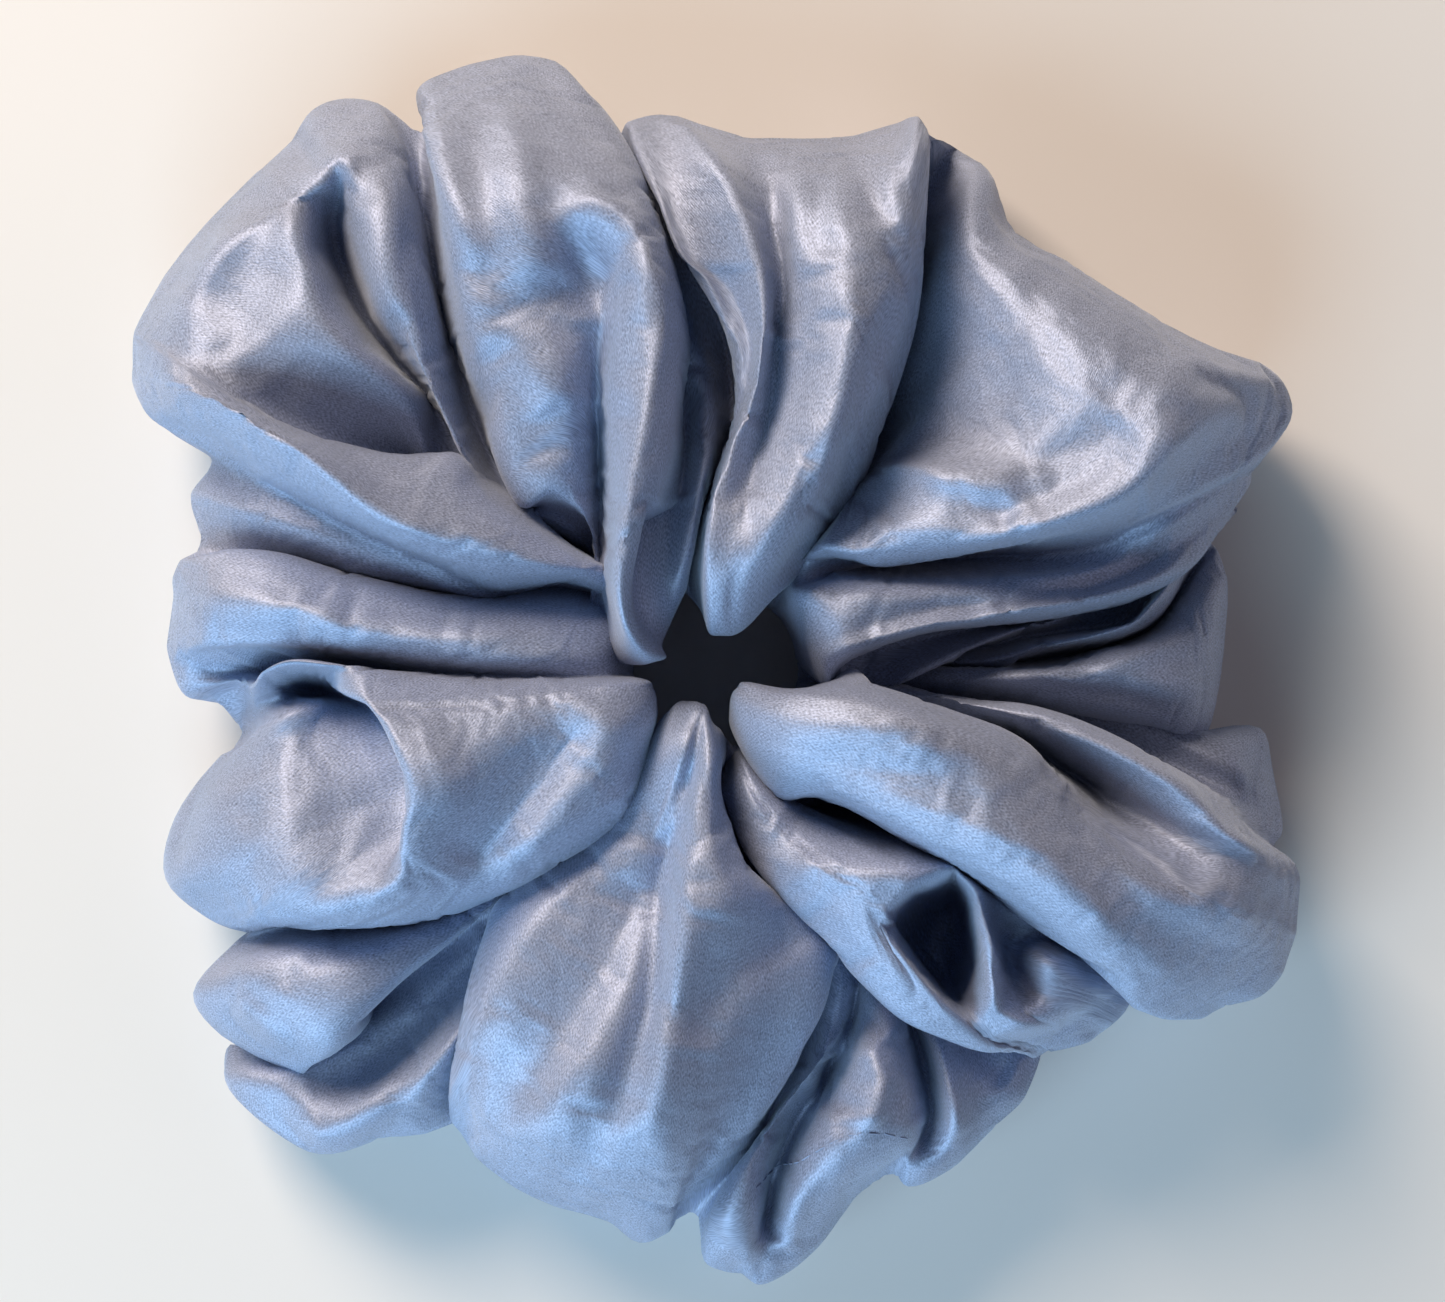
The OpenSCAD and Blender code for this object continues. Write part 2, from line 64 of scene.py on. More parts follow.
# The folds, anticlockwise round the ring from its right-hand side. Each fold is a list of lines
# that run from the opening over the fold to its outer end, and the last line of a fold is the
# crease before the next one. A point is (angle in degrees, distance from the opening's axis in
# mm, height in mm). A fourth number is the share of the way from the opening to the outer end,
# and it keeps the brink of a tucked fold at the same place on neighbouring lines.
FOLDS = {
    "right_tongue": [
        [(351.6, 11.5, 12), (352.4, 23.5, 12), (352.8, 32.5, 14), (353, 45, 15), (352.4, 58, 15),
         (352, 63, 13)],
        [(353.8, 12.5, 14), (353.8, 23, 16), (353.6, 31.5, 20), (354.4, 38, 24), (354, 44, 25),
         (353.6, 50.5, 25), (353.2, 55.5, 24), (352, 60.5, 20), (352.4, 64, 14)],
        [(356.8, 12.5, 15), (357, 23, 18), (357, 30, 23), (357.6, 37.5, 29), (357.6, 46, 30),
         (357.6, 55, 29), (357.6, 60.5, 25), (357.4, 65, 15)],
        [(358.8, 12.5, 15), (359, 23, 18), (359, 30.5, 23), (359.4, 37.5, 28), (360, 46, 29),
         (361.6, 52.5, 29), (364, 58.5, 25), (368, 64, 20), (369, 67, 14)],
        [(359.8, 12.5, 14), (359.8, 23, 17), (360, 30.5, 21), (359.8, 38, 25), (360.6, 44, 26),
         (362.4, 49, 26), (363.2, 53, 25), (365, 57, 22), (369, 61.5, 17), (373, 67, 12)],
        [(359.6, 11.5, 11), (360.8, 23.5, 11), (361.4, 34, 12), (361.6, 43, 12), (363.4, 52, 12),
         (365.4, 57, 12), (370, 62, 12), (374, 66.5, 11)],
    ],
    "right_tucked": [
        [(359.6, 12, 13), (360.4, 23, 15), (360.2, 32.5, 18), (360.2, 37, 21), (362.2, 39.5, 23),
         (363.6, 44, 25), (364.4, 50.5, 25), (365.8, 54.5, 24), (368, 58, 22), (372, 62, 18),
         (375, 66.5, 12)],
        [(361.2, 12.5, 14), (361.8, 23, 16), (361.4, 31, 20), (362, 36, 24), (364, 41.5, 27),
         (365, 47.5, 28), (366.4, 52.5, 28), (368.8, 56, 26), (372.4, 60.5, 22), (376, 66.5, 14)],
        [(362.6, 12, 12), (362.8, 20.5, 14), (362.8, 27.5, 15), (364, 33.5, 16), (366, 40, 17),
         (367.4, 45, 17), (368.4, 51.5, 17), (371, 56.5, 16), (374, 61.5, 15), (377, 67.5, 12)],
    ],
    "right_under": [
        [(351.8, 13, 16), (353.8, 22, 22), (357, 24.5, 25), (361, 28, 26), (364.6, 32.5, 26),
         (367, 38, 25), (368.2, 44.5, 22), (370, 51, 19), (373, 58, 17), (378, 68.5, 12)],
        [(355.8, 13.5, 17), (357.8, 18, 19), (363, 20.5, 20), (367, 25.5, 20), (368.4, 33, 20),
         (369.4, 41, 19), (370.4, 48.5, 18), (371.4, 54, 17), (375, 59, 16), (379, 69, 12)],
    ],
    "broad_right": [
        [(352, 14.5, 29), (360.2, 15.5, 30), (365, 18, 30), (368, 22, 30), (369.4, 27.5, 30),
         (369, 33.5, 30), (368.6, 40, 29), (368.8, 46.5, 28), (369.2, 51.5, 27), (370, 56.5, 25),
         (372, 62, 22), (375, 67, 17), (377, 71, 12)],
        [(365.2, 13, 33), (368.2, 15.5, 36), (370.6, 19.5, 37), (371.6, 27, 37), (371, 34.5, 36),
         (370.8, 40.5, 35), (370.6, 47, 33), (371, 52, 31), (372, 57, 28), (374, 62, 24), (377, 70, 14)],
        [(375.2, 12.5, 33), (375.2, 16, 36.5), (375.2, 22, 37), (374.6, 29.5, 35), (373, 37, 33),
         (372.6, 43.5, 31), (372.6, 50, 28), (373.6, 55.5, 25.5), (375, 60.5, 24.5), (378, 71.5, 15)],
        [(388.2, 12.5, 33), (387.2, 15.5, 36), (385.2, 20.5, 36), (381, 27, 34), (377.6, 34.5, 32.5),
         (375.6, 42, 31), (374.6, 48.5, 29), (375, 54, 26.5), (376.6, 60.5, 26), (379, 73, 15)],
        [(402, 13, 32), (400, 15, 34.5), (395, 18.5, 33), (388, 24.5, 29), (382, 31.5, 27),
         (378, 39, 26.5), (376, 46.5, 26.5), (376, 52.5, 26.5), (377.6, 60, 28), (380, 73.5, 16)],
        [(410, 15, 28), (407, 16, 29), (400, 20, 25), (392, 25, 19), (387, 30.5, 19), (382, 38, 21.5),
         (378, 45.5, 24.5), (377, 51.5, 26), (378.6, 60, 28), (380.4, 74, 17)],
    ],
    "upper_right_flap": [
        [(411, 17, 28), (408, 18, 29), (401, 20.5, 28), (393, 24, 26), (388, 29, 26), (384, 36.5, 27),
         (380.6, 45, 29.5), (379.6, 52, 31.5), (380, 60.5, 32.5), (381.4, 76, 19)],
        [(411, 17.5, 30), (407.6, 18.5, 31.5), (400, 21, 32), (392.6, 23.5, 33), (388, 28, 33),
         (385, 33, 34), (382.8, 39, 36), (381.6, 45, 38), (381.4, 51, 39), (382, 57.5, 38),
         (383, 64, 34), (383.6, 73, 26), (384, 81.5, 15)],
        [(410, 20, 33), (407, 20.5, 35), (400, 22.5, 37), (394, 26.5, 38), (389.6, 30.5, 39),
         (386.6, 35, 41), (384.6, 41, 43), (383.6, 47, 43.5), (383.6, 53, 43.5), (385, 57.5, 43.5),
         (386.6, 64, 41), (387.6, 73, 32), (387.4, 81.5, 16)],
        [(410, 22.5, 32), (407, 23.5, 34), (401, 25.5, 37), (397, 28.5, 39), (393, 32, 40.5),
         (390, 36.5, 41), (388, 41, 41.5), (387.6, 47, 42), (388, 53, 43), (389.6, 59, 43.5),
         (391, 65.5, 41), (391.6, 71.5, 33), (392, 76.5, 18)],
        [(412, 27, 26), (409.6, 30.5, 30), (406, 34, 35), (402, 35.5, 38.5), (398, 37.5, 40),
         (394.6, 40.5, 40.5), (392.6, 45, 40.5), (392.6, 51, 41.5), (394, 57, 42), (396, 63, 40),
         (396.6, 68, 33.5), (396.4, 73, 18)],
        [(413, 28.5, 22), (411, 33, 24), (408, 37.5, 27), (404.6, 41, 31), (401.6, 44, 34),
         (399.6, 47, 36.5), (399, 51, 38.5), (400, 56, 39.5), (401.6, 61.5, 38), (402, 66, 32.5),
         (402, 70.5, 18)],
        [(414, 29.5, 19), (412.4, 34.5, 20), (411, 40.5, 23), (409.6, 45.5, 28), (408, 49.5, 32),
         (407, 53.5, 35), (407.6, 57.5, 35.5), (408.6, 62, 33.5), (409, 66, 27), (409, 69, 16)],
        [(415, 30, 17), (414.4, 36, 17), (414, 42, 19), (414, 48, 23), (414, 52.5, 27.5),
         (414, 56.5, 31), (414.6, 60, 31), (415, 63.5, 28.5), (416, 66.5, 22), (416, 68.5, 14)],
        [(416, 30.5, 15), (417, 37.5, 15), (418, 44, 16), (419, 50, 18), (420, 54.5, 21),
         (420.6, 59.5, 24), (421, 63.5, 24.5), (421.2, 68, 22.5), (421.2, 72, 18), (421.2, 73.5, 12)],
        [(417, 30.5, 13), (419, 37.5, 13), (421, 44, 13), (423, 50.5, 13), (424, 56, 12), (425, 61, 11),
         (425.2, 65.5, 9), (425, 71, 8), (424.8, 74, 8), (424.8, 75.5, 7)],
    ],
    "top_right": [
        [(408, 20.5, 22), (410, 26, 23), (412.4, 31.5, 24), (415, 36.5, 25), (417.6, 43.5, 26),
         (420, 50, 27), (422, 54.5, 28), (425, 62, 30), (427.4, 69, 31), (428.6, 73.5, 22)],
        [(410, 11, 32), (413, 13, 33), (415.6, 16, 34), (416, 22, 35), (417.2, 26, 36), (418.8, 30, 37),
         (420.4, 35, 38), (422, 40.5, 38), (423.4, 45, 37.5), (424, 50, 37), (425.6, 56.5, 36),
         (427.4, 62.5, 35), (429, 69.5, 32), (429.8, 74.5, 21)],
        [(411, 7, 32), (420, 12.5, 38), (420, 18, 40.5), (421, 23, 42), (422.6, 28, 43), (424, 34, 43),
         (425.6, 40, 42.5), (426.6, 46, 41.5), (428, 52.5, 39.5), (429.4, 58.5, 37), (431, 65.5, 32),
         (431.6, 73.5, 18)],
        [(414, 5.5, 32), (429, 11, 40), (428, 17, 43), (427, 23, 43.5), (427.4, 29, 43), (429, 35, 42),
         (430.4, 41, 41.5), (432, 47, 41), (433.4, 53.5, 40), (435, 60, 36), (436, 65.5, 28),
         (436.6, 70, 16)],
        [(421, 4.5, 32), (438, 11, 40.5), (436, 17, 42.5), (434.4, 23, 40.5), (434, 29.5, 39),
         (434.4, 35.5, 38), (436, 41.5, 37.5), (437.4, 47.5, 37), (439, 52.5, 37), (440, 59, 34.5),
         (440.4, 65, 27), (440.6, 69, 16)],
        [(436.8, 4, 33), (444.8, 11, 41), (443, 17, 41.5), (440, 23, 38), (438.4, 29.5, 35.5),
         (438.4, 36, 34), (439.4, 42, 33), (440.4, 48.5, 32), (442, 53.5, 31), (444, 60, 29),
         (446, 65, 24), (446, 68.5, 14)],
    ],
    "top_sliver": [
        [(456.6, 4, 33), (455.8, 10, 40), (452.8, 16, 42), (448.4, 22, 41), (445, 27.5, 40),
         (442.4, 32, 39.5), (441.8, 38, 39), (442.4, 44, 38.5), (444.4, 50.5, 37.5), (447, 56.5, 36.5),
         (450, 62.5, 33.5), (452.4, 67, 27), (454, 71, 15)],
        [(462.8, 6, 30), (458.8, 11.5, 36), (452.8, 18.5, 38.5), (448, 24, 38), (445, 29.5, 37),
         (443.8, 34.5, 36.5), (444.2, 39.5, 36), (446.2, 43.5, 35), (449, 47.5, 34.5), (452.4, 50, 34.5),
         (454.4, 54, 34), (455.4, 60.5, 32), (456, 66.5, 26), (456.6, 71.5, 15)],
    ],
    "top_inner": [
        [(464, 7.5, 24), (460, 12.5, 27), (454, 18.5, 29), (449, 25, 31), (446, 29.5, 33.5),
         (445.4, 34.5, 35), (446.6, 39.5, 35.5), (448.6, 43, 35.5), (452, 47.5, 35.5), (455, 51.5, 35),
         (457, 58, 33), (458.4, 64.5, 28), (459, 71, 16)],
        [(465.2, 9.5, 20), (461, 14, 20), (455.6, 18.5, 20), (450, 24.5, 19), (447.6, 30, 18),
         (449.6, 37, 17), (453, 45, 17), (456, 51.5, 17), (458, 57.5, 18), (460, 64, 18), (460.6, 70, 13)],
    ],
    "top_shaded": [
        [(471.8, 10, 30), (464.8, 12.5, 32), (460, 15.5, 33), (456, 20, 33), (453, 25, 32),
         (452, 31, 29), (454, 39, 25), (457, 47, 22), (460, 54.5, 21), (461.6, 62.5, 20), (462, 71, 14)],
        [(499.8, 7.5, 31), (489.6, 9, 34), (479.8, 11, 35), (469.8, 14, 35), (463.8, 18, 34),
         (459.4, 23.5, 31), (457.4, 31.5, 27), (457.6, 39, 23), (459, 47, 20), (461, 55, 19),
         (462, 63, 18), (462.6, 72.5, 14)],
        [(517.6, 7, 32), (507.6, 10, 36), (494.8, 13.5, 37), (481.8, 17, 36), (471.8, 21, 34),
         (465, 26.5, 31), (461, 32, 27), (458.8, 39, 23), (459.6, 47, 20), (461, 55, 18),
         (462.6, 64, 17), (463.6, 75, 13)],
    ],
    "top_left_tall": [
        [(527.6, 6, 33), (517.4, 9, 38), (505.6, 12, 41.5), (491.6, 15, 43), (479.8, 18, 43.5),
         (469.8, 22, 43), (464.4, 25.5, 42.5), (460, 31, 41), (457, 38, 38.5), (455.6, 43.5, 36.5),
         (455.8, 49, 34.5), (457, 55.5, 32), (458.4, 62.5, 29), (460.6, 69.5, 25), (463, 76.5, 19),
         (464.6, 80.5, 13)],
        [(534.6, 7.5, 35), (523.4, 10, 40), (511.6, 12.5, 43), (497.6, 15.5, 45), (483.6, 19.5, 46),
         (473.8, 24.5, 46), (466.8, 30, 45.5), (462.4, 36, 44.5), (459.8, 42, 43.5), (458.8, 47.5, 43),
         (459.6, 53, 41.5), (461, 60, 38), (463, 66.5, 33), (466, 75.5, 25), (467.6, 83, 14)],
        [(537.8, 9, 33), (525.6, 11.5, 36), (512.8, 13.5, 37), (500.8, 16.5, 37.5), (489.8, 20, 37.5),
         (479.8, 26, 37.5), (473.4, 32, 37.5), (468.4, 38, 38.5), (464.4, 43.5, 40), (462.2, 48, 41),
         (462.4, 52, 41.5), (464.4, 58, 40.5), (467, 64.5, 37.5), (469.4, 73.5, 30), (470.6, 81, 20),
         (471, 84, 13)],
        [(536, 12.5, 26), (525, 14, 28), (512, 15.5, 28), (501, 18.5, 28), (491, 22, 29),
         (482, 27.5, 30), (476, 33.5, 31), (471.4, 39.5, 33), (468, 45, 35.5), (466.4, 49, 36.5),
         (467.4, 52.5, 38), (469, 58.5, 39.5), (471, 64.5, 38.5), (473, 73, 32), (474, 81.5, 20),
         (474, 84.5, 13)],
        [(532, 14, 24), (520, 16, 25), (508, 17.5, 26), (497, 20, 29), (488, 25, 32), (481, 30.5, 35),
         (476.4, 36.5, 37), (473.4, 43, 37.5), (472.4, 48.5, 36.5), (473, 53.5, 39.5), (474.4, 59.5, 41),
         (476, 65.5, 40), (477, 72.5, 35), (477, 79.5, 24), (476.6, 84.5, 13)],
        [(525, 16, 23), (513, 17.5, 25), (501, 19.5, 28), (493, 22.5, 32), (487.4, 27.5, 35.5),
         (481.8, 34, 38.5), (478.8, 40, 40), (478, 45.5, 39.5), (478.4, 50, 39), (479, 54.5, 41),
         (479.4, 60.5, 42), (479.2, 67, 39), (478.8, 74.5, 31), (478, 80, 19), (477.6, 83.5, 12)],
        [(518, 17, 22), (507, 18.5, 25), (496, 20.5, 29), (491, 23.5, 32.5), (490.4, 27, 35),
         (488.8, 33.5, 38), (486.4, 40, 39.5), (485, 45.5, 39.5), (484.2, 51, 39.5), (483, 56, 39),
         (481.8, 62.5, 36.5), (480, 69.5, 31), (478.6, 76, 23), (478, 80.5, 12)],
        [(505, 18, 20), (491.4, 20.5, 26), (491, 23.5, 29), (491.8, 27, 32), (495, 29.5, 33.5),
         (499, 30.5, 33.5), (500, 31.5, 33), (497, 36, 33.5), (493.4, 40, 34), (490.4, 43, 34),
         (489, 48, 33.5), (486, 55, 32), (483.4, 61.5, 30), (480.4, 69.5, 25), (478.4, 76.5, 18),
         (478, 79.5, 12)],
        [(503.2, 18, 17), (497, 20.5, 21), (495, 24, 26), (496, 27, 28), (499, 29.5, 28), (501, 32, 25),
         (499, 38, 21), (495, 44, 22), (491, 49.5, 22), (488, 56, 22), (485, 62.5, 21), (482, 70.5, 19),
         (479.8, 77.5, 15), (479, 79.5, 12)],
    ],
    "upper_left_strip": [
        [(503.2, 18, 16), (498, 20, 20), (497, 24, 25), (498, 27.5, 27), (500, 30.5, 27),
         (501.2, 34, 26), (499.2, 39.5, 27), (495.4, 45.5, 29.5), (491.4, 51, 30), (488, 57, 31),
         (485.4, 63.5, 31), (483, 70, 29), (481.4, 77, 24), (481, 83, 17), (481, 85.5, 11)],
        [(504.2, 18, 16), (498.6, 20, 19), (498.4, 24, 23), (499.2, 27.5, 25), (501, 31.5, 26),
         (502, 35, 28), (500.2, 39.5, 30.5), (497.4, 44.5, 33), (494, 51.5, 35), (491, 57.5, 35.5),
         (488, 64, 35.5), (485.4, 70, 34), (484, 77.5, 29), (483.6, 84, 21), (483.6, 88.5, 12)],
        [(504.8, 18, 14), (499.2, 20, 17), (499, 24.5, 19), (500, 28, 21), (501.6, 32, 24),
         (502.4, 35.5, 27), (501, 39.5, 29), (498.2, 44, 31), (495.2, 49.5, 32.5), (493.8, 55.5, 33.5),
         (493.2, 60.5, 33.5), (490.8, 65.5, 33.5), (488.8, 70.5, 32), (487, 74.5, 32), (486.2, 77.5, 32),
         (486.2, 82.5, 25), (486, 89, 13)],
        [(505.2, 18, 14), (499.6, 20, 16), (499.6, 24.5, 18), (500.6, 29, 19), (502, 33, 20),
         (502.6, 37, 21), (502, 41.5, 21), (499.6, 47, 20), (497, 52.5, 19), (496, 57.5, 19),
         (495, 62.5, 20), (493.6, 67.5, 21), (491.6, 72.5, 22.5), (489.4, 75.5, 26), (488.8, 77.5, 31.5),
         (488.8, 82.5, 24), (488.8, 87.5, 13)],
    ],
    "upper_left_roll": [
        [(505.8, 18, 14), (500.2, 20, 17), (500, 24.5, 18.5), (501, 28.5, 19.5), (502.6, 33.5, 20.5),
         (503, 37.5, 21.5), (503, 42, 22), (500.6, 46.5, 24), (497.4, 50, 27), (497.2, 54.5, 31),
         (497.2, 59.5, 33), (496.6, 65, 34.5), (495.4, 70, 35.5), (494, 75, 35), (493.4, 80.5, 28),
         (494, 87, 14)],
        [(506.2, 18, 14), (500.6, 20, 18), (500.8, 24.5, 19), (501.6, 28.5, 20), (503, 33.5, 21),
         (503.6, 37.5, 22), (503.8, 42.5, 22.5), (502, 46.5, 27), (499.4, 50.5, 31), (499, 55.5, 34.5),
         (499.2, 61, 36.5), (499, 67.5, 36.5), (498.6, 72.5, 34.8), (499.2, 76.5, 33.6), (499, 80, 32.4),
         (499, 83, 26), (499, 87, 14)],
        [(506.8, 18, 14), (501, 20, 18.5), (501.2, 24.5, 19.2), (502, 28.5, 20), (503.6, 33.5, 21),
         (504, 38, 21.5), (504.6, 43, 22), (505, 47, 24.5), (504.4, 51.5, 28), (505, 56.5, 31),
         (505.4, 61.5, 33.5), (505.4, 67.5, 35), (505.2, 72.5, 34), (505, 76.5, 33), (504.4, 79.5, 31.5),
         (504.4, 83, 25), (504.6, 87, 14)],
        [(507.2, 18, 14), (501, 20, 19), (501.8, 24.5, 19.5), (502.6, 29.5, 20.5), (504, 34.5, 21),
         (504.6, 39, 21.5), (505, 43, 22), (506.8, 48, 23), (508.8, 53.5, 26), (510, 58.5, 29.5),
         (510.2, 64.5, 32.5), (510, 69, 34.5), (509.6, 74, 34), (509.4, 79, 30), (509.6, 86.5, 14)],
    ],
    "broad_left": [
        [(497.2, 18.5, 29), (498.4, 20.5, 30), (500, 23.5, 31), (501, 28, 32), (502.2, 34, 33),
         (502, 37.5, 33), (500.6, 40, 32.5), (500.8, 42, 32), (503, 44, 31.5), (506, 47.5, 31.5),
         (508.4, 52.5, 32.5), (510, 58, 34.5), (510.6, 63.5, 36.5), (510.8, 69.5, 36.5), (510.6, 75, 34),
         (510.4, 80, 28.5), (510.6, 86, 14)],
        [(499.8, 18.5, 32), (502.4, 21.5, 35), (504.8, 26.5, 37), (506.8, 31.5, 38.5),
         (507.4, 36.5, 38.5), (507.4, 41.5, 38), (508.4, 46.5, 37.5), (510.2, 52.5, 38),
         (511.2, 58.5, 39.5), (511.6, 64, 40.5), (511.8, 70.5, 38.5), (512, 76.5, 33), (512.4, 84.5, 15)],
        [(503.8, 19.5, 33), (507.8, 23, 37), (510.8, 28.5, 39.5), (512.8, 34, 41), (514.6, 40, 41.5),
         (514.8, 45.5, 41.5), (513.4, 50.5, 42), (512.4, 56.5, 42), (512, 62.5, 42), (511.8, 68, 40.5),
         (512.4, 73.5, 36), (513.4, 79, 26), (514, 83.5, 14)],
        [(506.8, 20, 31), (511.8, 24, 34.5), (515.4, 28.5, 36.5), (517.2, 34, 37.5), (517.6, 40, 38),
         (517.2, 46.5, 38), (516, 52.5, 38), (515, 58.5, 37.5), (514.2, 65, 36.5), (514.4, 71, 32.5),
         (515.2, 76, 25), (515.8, 80.5, 14)],
        [(510, 21.5, 27), (516, 25, 29), (520, 29, 30), (520, 33, 31), (519.2, 37, 32), (519, 42, 32.5),
         (518.4, 48, 32.5), (517.6, 54.5, 32), (516.8, 61, 30.5), (516, 66.5, 27), (515.8, 72.5, 22),
         (516.4, 77, 17), (516.4, 79, 12)],
        [(512, 22.5, 24), (518, 26, 26.5), (521.4, 30, 28), (521, 32.5, 29), (520, 37.5, 30),
         (519.8, 42.5, 30), (519.4, 48.5, 29.5), (519, 55, 28), (518.4, 61.5, 25), (517.8, 67, 19),
         (517.6, 70.5, 12)],
    ],
    "left_sliver": [
        [(514, 23, 22), (520, 27, 25), (523, 30.5, 27), (523, 34.5, 28.5), (522.2, 40, 29),
         (522, 46, 29), (521.8, 52.5, 28.5), (521.4, 59, 27), (521.4, 65, 23), (521.4, 71.5, 13)],
        [(515, 24, 19), (521, 27.5, 21), (524, 31.5, 23), (524.4, 36.5, 25), (524.6, 41.5, 25.5),
         (525, 46.5, 25.5), (524.2, 52, 25.5), (523.6, 57.5, 25), (523.6, 63, 22), (523, 68, 17),
         (523, 71, 12)],
        [(506, 19, 20), (511, 23.5, 20), (518, 29, 19), (524, 33.5, 18), (526, 40, 18), (526.4, 45, 18),
         (526.6, 51.5, 18), (526.6, 57.5, 18), (527, 63, 17), (526.6, 68.5, 12)],
    ],
    "left_band": [
        [(510, 14, 25), (514, 19, 26), (519, 25, 27), (523, 30, 27), (525, 36.5, 27), (525.4, 42.5, 27),
         (525.4, 50, 27), (525.2, 56.5, 26.5), (526.2, 62.5, 25), (528, 67.5, 21), (528.8, 70.5, 13)],
        [(517, 13.5, 28), (520.8, 18.5, 31), (524.8, 24.5, 32.5), (528, 31, 33.5), (529, 37, 34),
         (529, 44.5, 34), (529, 52, 33.5), (529.2, 58, 32), (530, 64.5, 27.5), (530.6, 71, 14)],
        [(525.8, 13, 29), (528.8, 18.5, 33), (531.4, 24.5, 35), (532.8, 30.5, 36), (533.4, 36.5, 36),
         (533.4, 44, 35.5), (533.4, 51.5, 34.5), (533.8, 58, 33), (534, 64.5, 28.5), (534, 70.5, 14)],
        [(534.8, 13, 29.5), (536.4, 18.5, 33.5), (537.2, 24.5, 35), (537.4, 30.5, 35), (537.2, 37, 34),
         (536.8, 43, 33), (536.4, 49.5, 32.5), (536.6, 56, 31.5), (537, 62.5, 28.5), (537.6, 67.5, 21),
         (537.8, 71, 13)],
        [(543, 13, 29), (541.6, 18.5, 32), (540.8, 24.5, 32.5), (540, 31, 31.5), (539.2, 37.5, 30),
         (538.4, 44, 27), (538, 49, 25), (537.6, 54.5, 24), (537.6, 60.5, 23.5), (538.6, 65.5, 20),
         (540, 70.5, 13)],
        [(544, 13, 29), (542.8, 18.5, 31.5), (542, 25, 31.5), (541, 31, 30), (540, 37.5, 28),
         (538.6, 43.5, 23, 0.6), (538.8, 48.5, 18), (539.6, 55.5, 16, 0.76), (540.6, 62, 16),
         (542, 66.5, 16), (543, 69, 12)],
    ],
    "left_ear": [
        [(546.8, 10, 32), (545.8, 14, 36), (544.4, 19.5, 36), (543.4, 26, 35), (542.4, 32, 35),
         (541.2, 38, 34.5), (540, 43, 35, 0.6), (539.2, 48, 34.5), (539, 52.5, 34),
         (540.4, 56, 31, 0.76), (542, 58, 26, 0.8), (542.2, 61.5, 16), (544, 65, 12)],
        [(549.8, 8.5, 33), (548.8, 13.5, 38), (547.8, 19.5, 39), (547, 25.5, 39), (546.4, 31.5, 39),
         (545.6, 37.5, 39.5), (544.4, 43, 39, 0.6), (543.8, 45.5, 36), (543.6, 49.5, 16),
         (543.6, 52, 13, 0.7), (543.8, 53.5, 17), (543.8, 55, 22, 0.78), (544.6, 57.5, 20),
         (546.2, 60, 16, 0.9), (548, 62, 11)],
        [(552.8, 8, 33), (551.8, 13.5, 38.5), (550.2, 19.5, 40), (549.4, 25.5, 40), (548.6, 31.5, 40),
         (547.8, 37, 40.5), (546.8, 42, 40.5, 0.6), (546.6, 41.5, 33), (546.4, 42, 26),
         (546, 45, 22, 0.68), (545.4, 48.5, 23), (545.4, 50, 27), (546, 53.5, 29), (547, 57, 26, 0.88),
         (548.8, 60.5, 19), (549.8, 63.5, 12)],
        [(555.8, 8, 33), (554.8, 13.5, 39), (553.2, 19.5, 41), (552.4, 25.5, 41), (551.4, 31.5, 41),
         (550.6, 36.5, 42), (549.8, 40.5, 42, 0.6), (549.8, 40, 34), (549.6, 40.5, 28),
         (549.6, 43, 27, 0.68), (549.4, 49, 28), (549.8, 55, 29), (550.4, 60.5, 24, 0.88),
         (550.6, 65.5, 12)],
        [(563.8, 8, 33), (562.8, 13.5, 39.5), (561.2, 19, 42), (559.8, 25.5, 42), (558.4, 31, 42.5),
         (557.4, 36, 44), (556.4, 39.5, 43.5, 0.6), (556, 39, 35), (556, 39, 30),
         (555.8, 41.5, 29.5, 0.68), (555.4, 48.5, 30.5), (555.4, 55.5, 31.5), (555.2, 64, 27, 0.88),
         (555.4, 70, 18), (555.6, 73, 12)],
        [(571.8, 8.5, 33), (570.8, 14, 39.5), (568.8, 19.5, 41), (566.8, 25.5, 41.5), (564.8, 31, 42.5),
         (563.4, 36, 44), (562.4, 40, 43.5, 0.6), (562, 39.5, 36), (562, 39.5, 31),
         (561.8, 42, 30.5, 0.68), (561.4, 49.5, 32), (561.2, 56.5, 33.5), (561, 65.5, 29, 0.88),
         (561, 73, 20), (561, 76.5, 12)],
        [(579.8, 9.5, 33), (578.8, 15, 38.5), (576.8, 20.5, 39.5), (573.8, 26.5, 40.5),
         (571.4, 32.5, 41.5), (569.4, 38.5, 42.5), (568.2, 43, 41.5, 0.6), (568, 42.5, 36),
         (568, 42.5, 32), (567.8, 45, 32.5, 0.67), (567.2, 51.5, 34.5), (566.8, 58, 34.5),
         (566.2, 65, 28, 0.88), (566, 70, 20), (566, 73.5, 12)],
        [(589, 12.5, 32), (587, 17, 37), (583.4, 22, 38.5), (580, 28, 39), (577, 34.5, 39.5),
         (574.8, 41, 39.5), (573.4, 46.5, 39, 0.62), (573, 49.5, 37.5), (572.4, 52, 36.5, 0.7),
         (571.4, 56, 35), (570, 61, 31), (568.8, 66.5, 24, 0.9), (568, 71, 14)],
        [(597, 17, 30.5), (595, 19.5, 35), (590, 24.5, 36.5), (586, 30, 37), (582, 36, 37),
         (579, 42, 36.5), (577, 47, 36, 0.64), (576, 51, 34.5), (574.4, 55, 32.5, 0.74), (572.6, 59, 29),
         (570.6, 64.5, 23, 0.9), (569.4, 69.5, 14)],
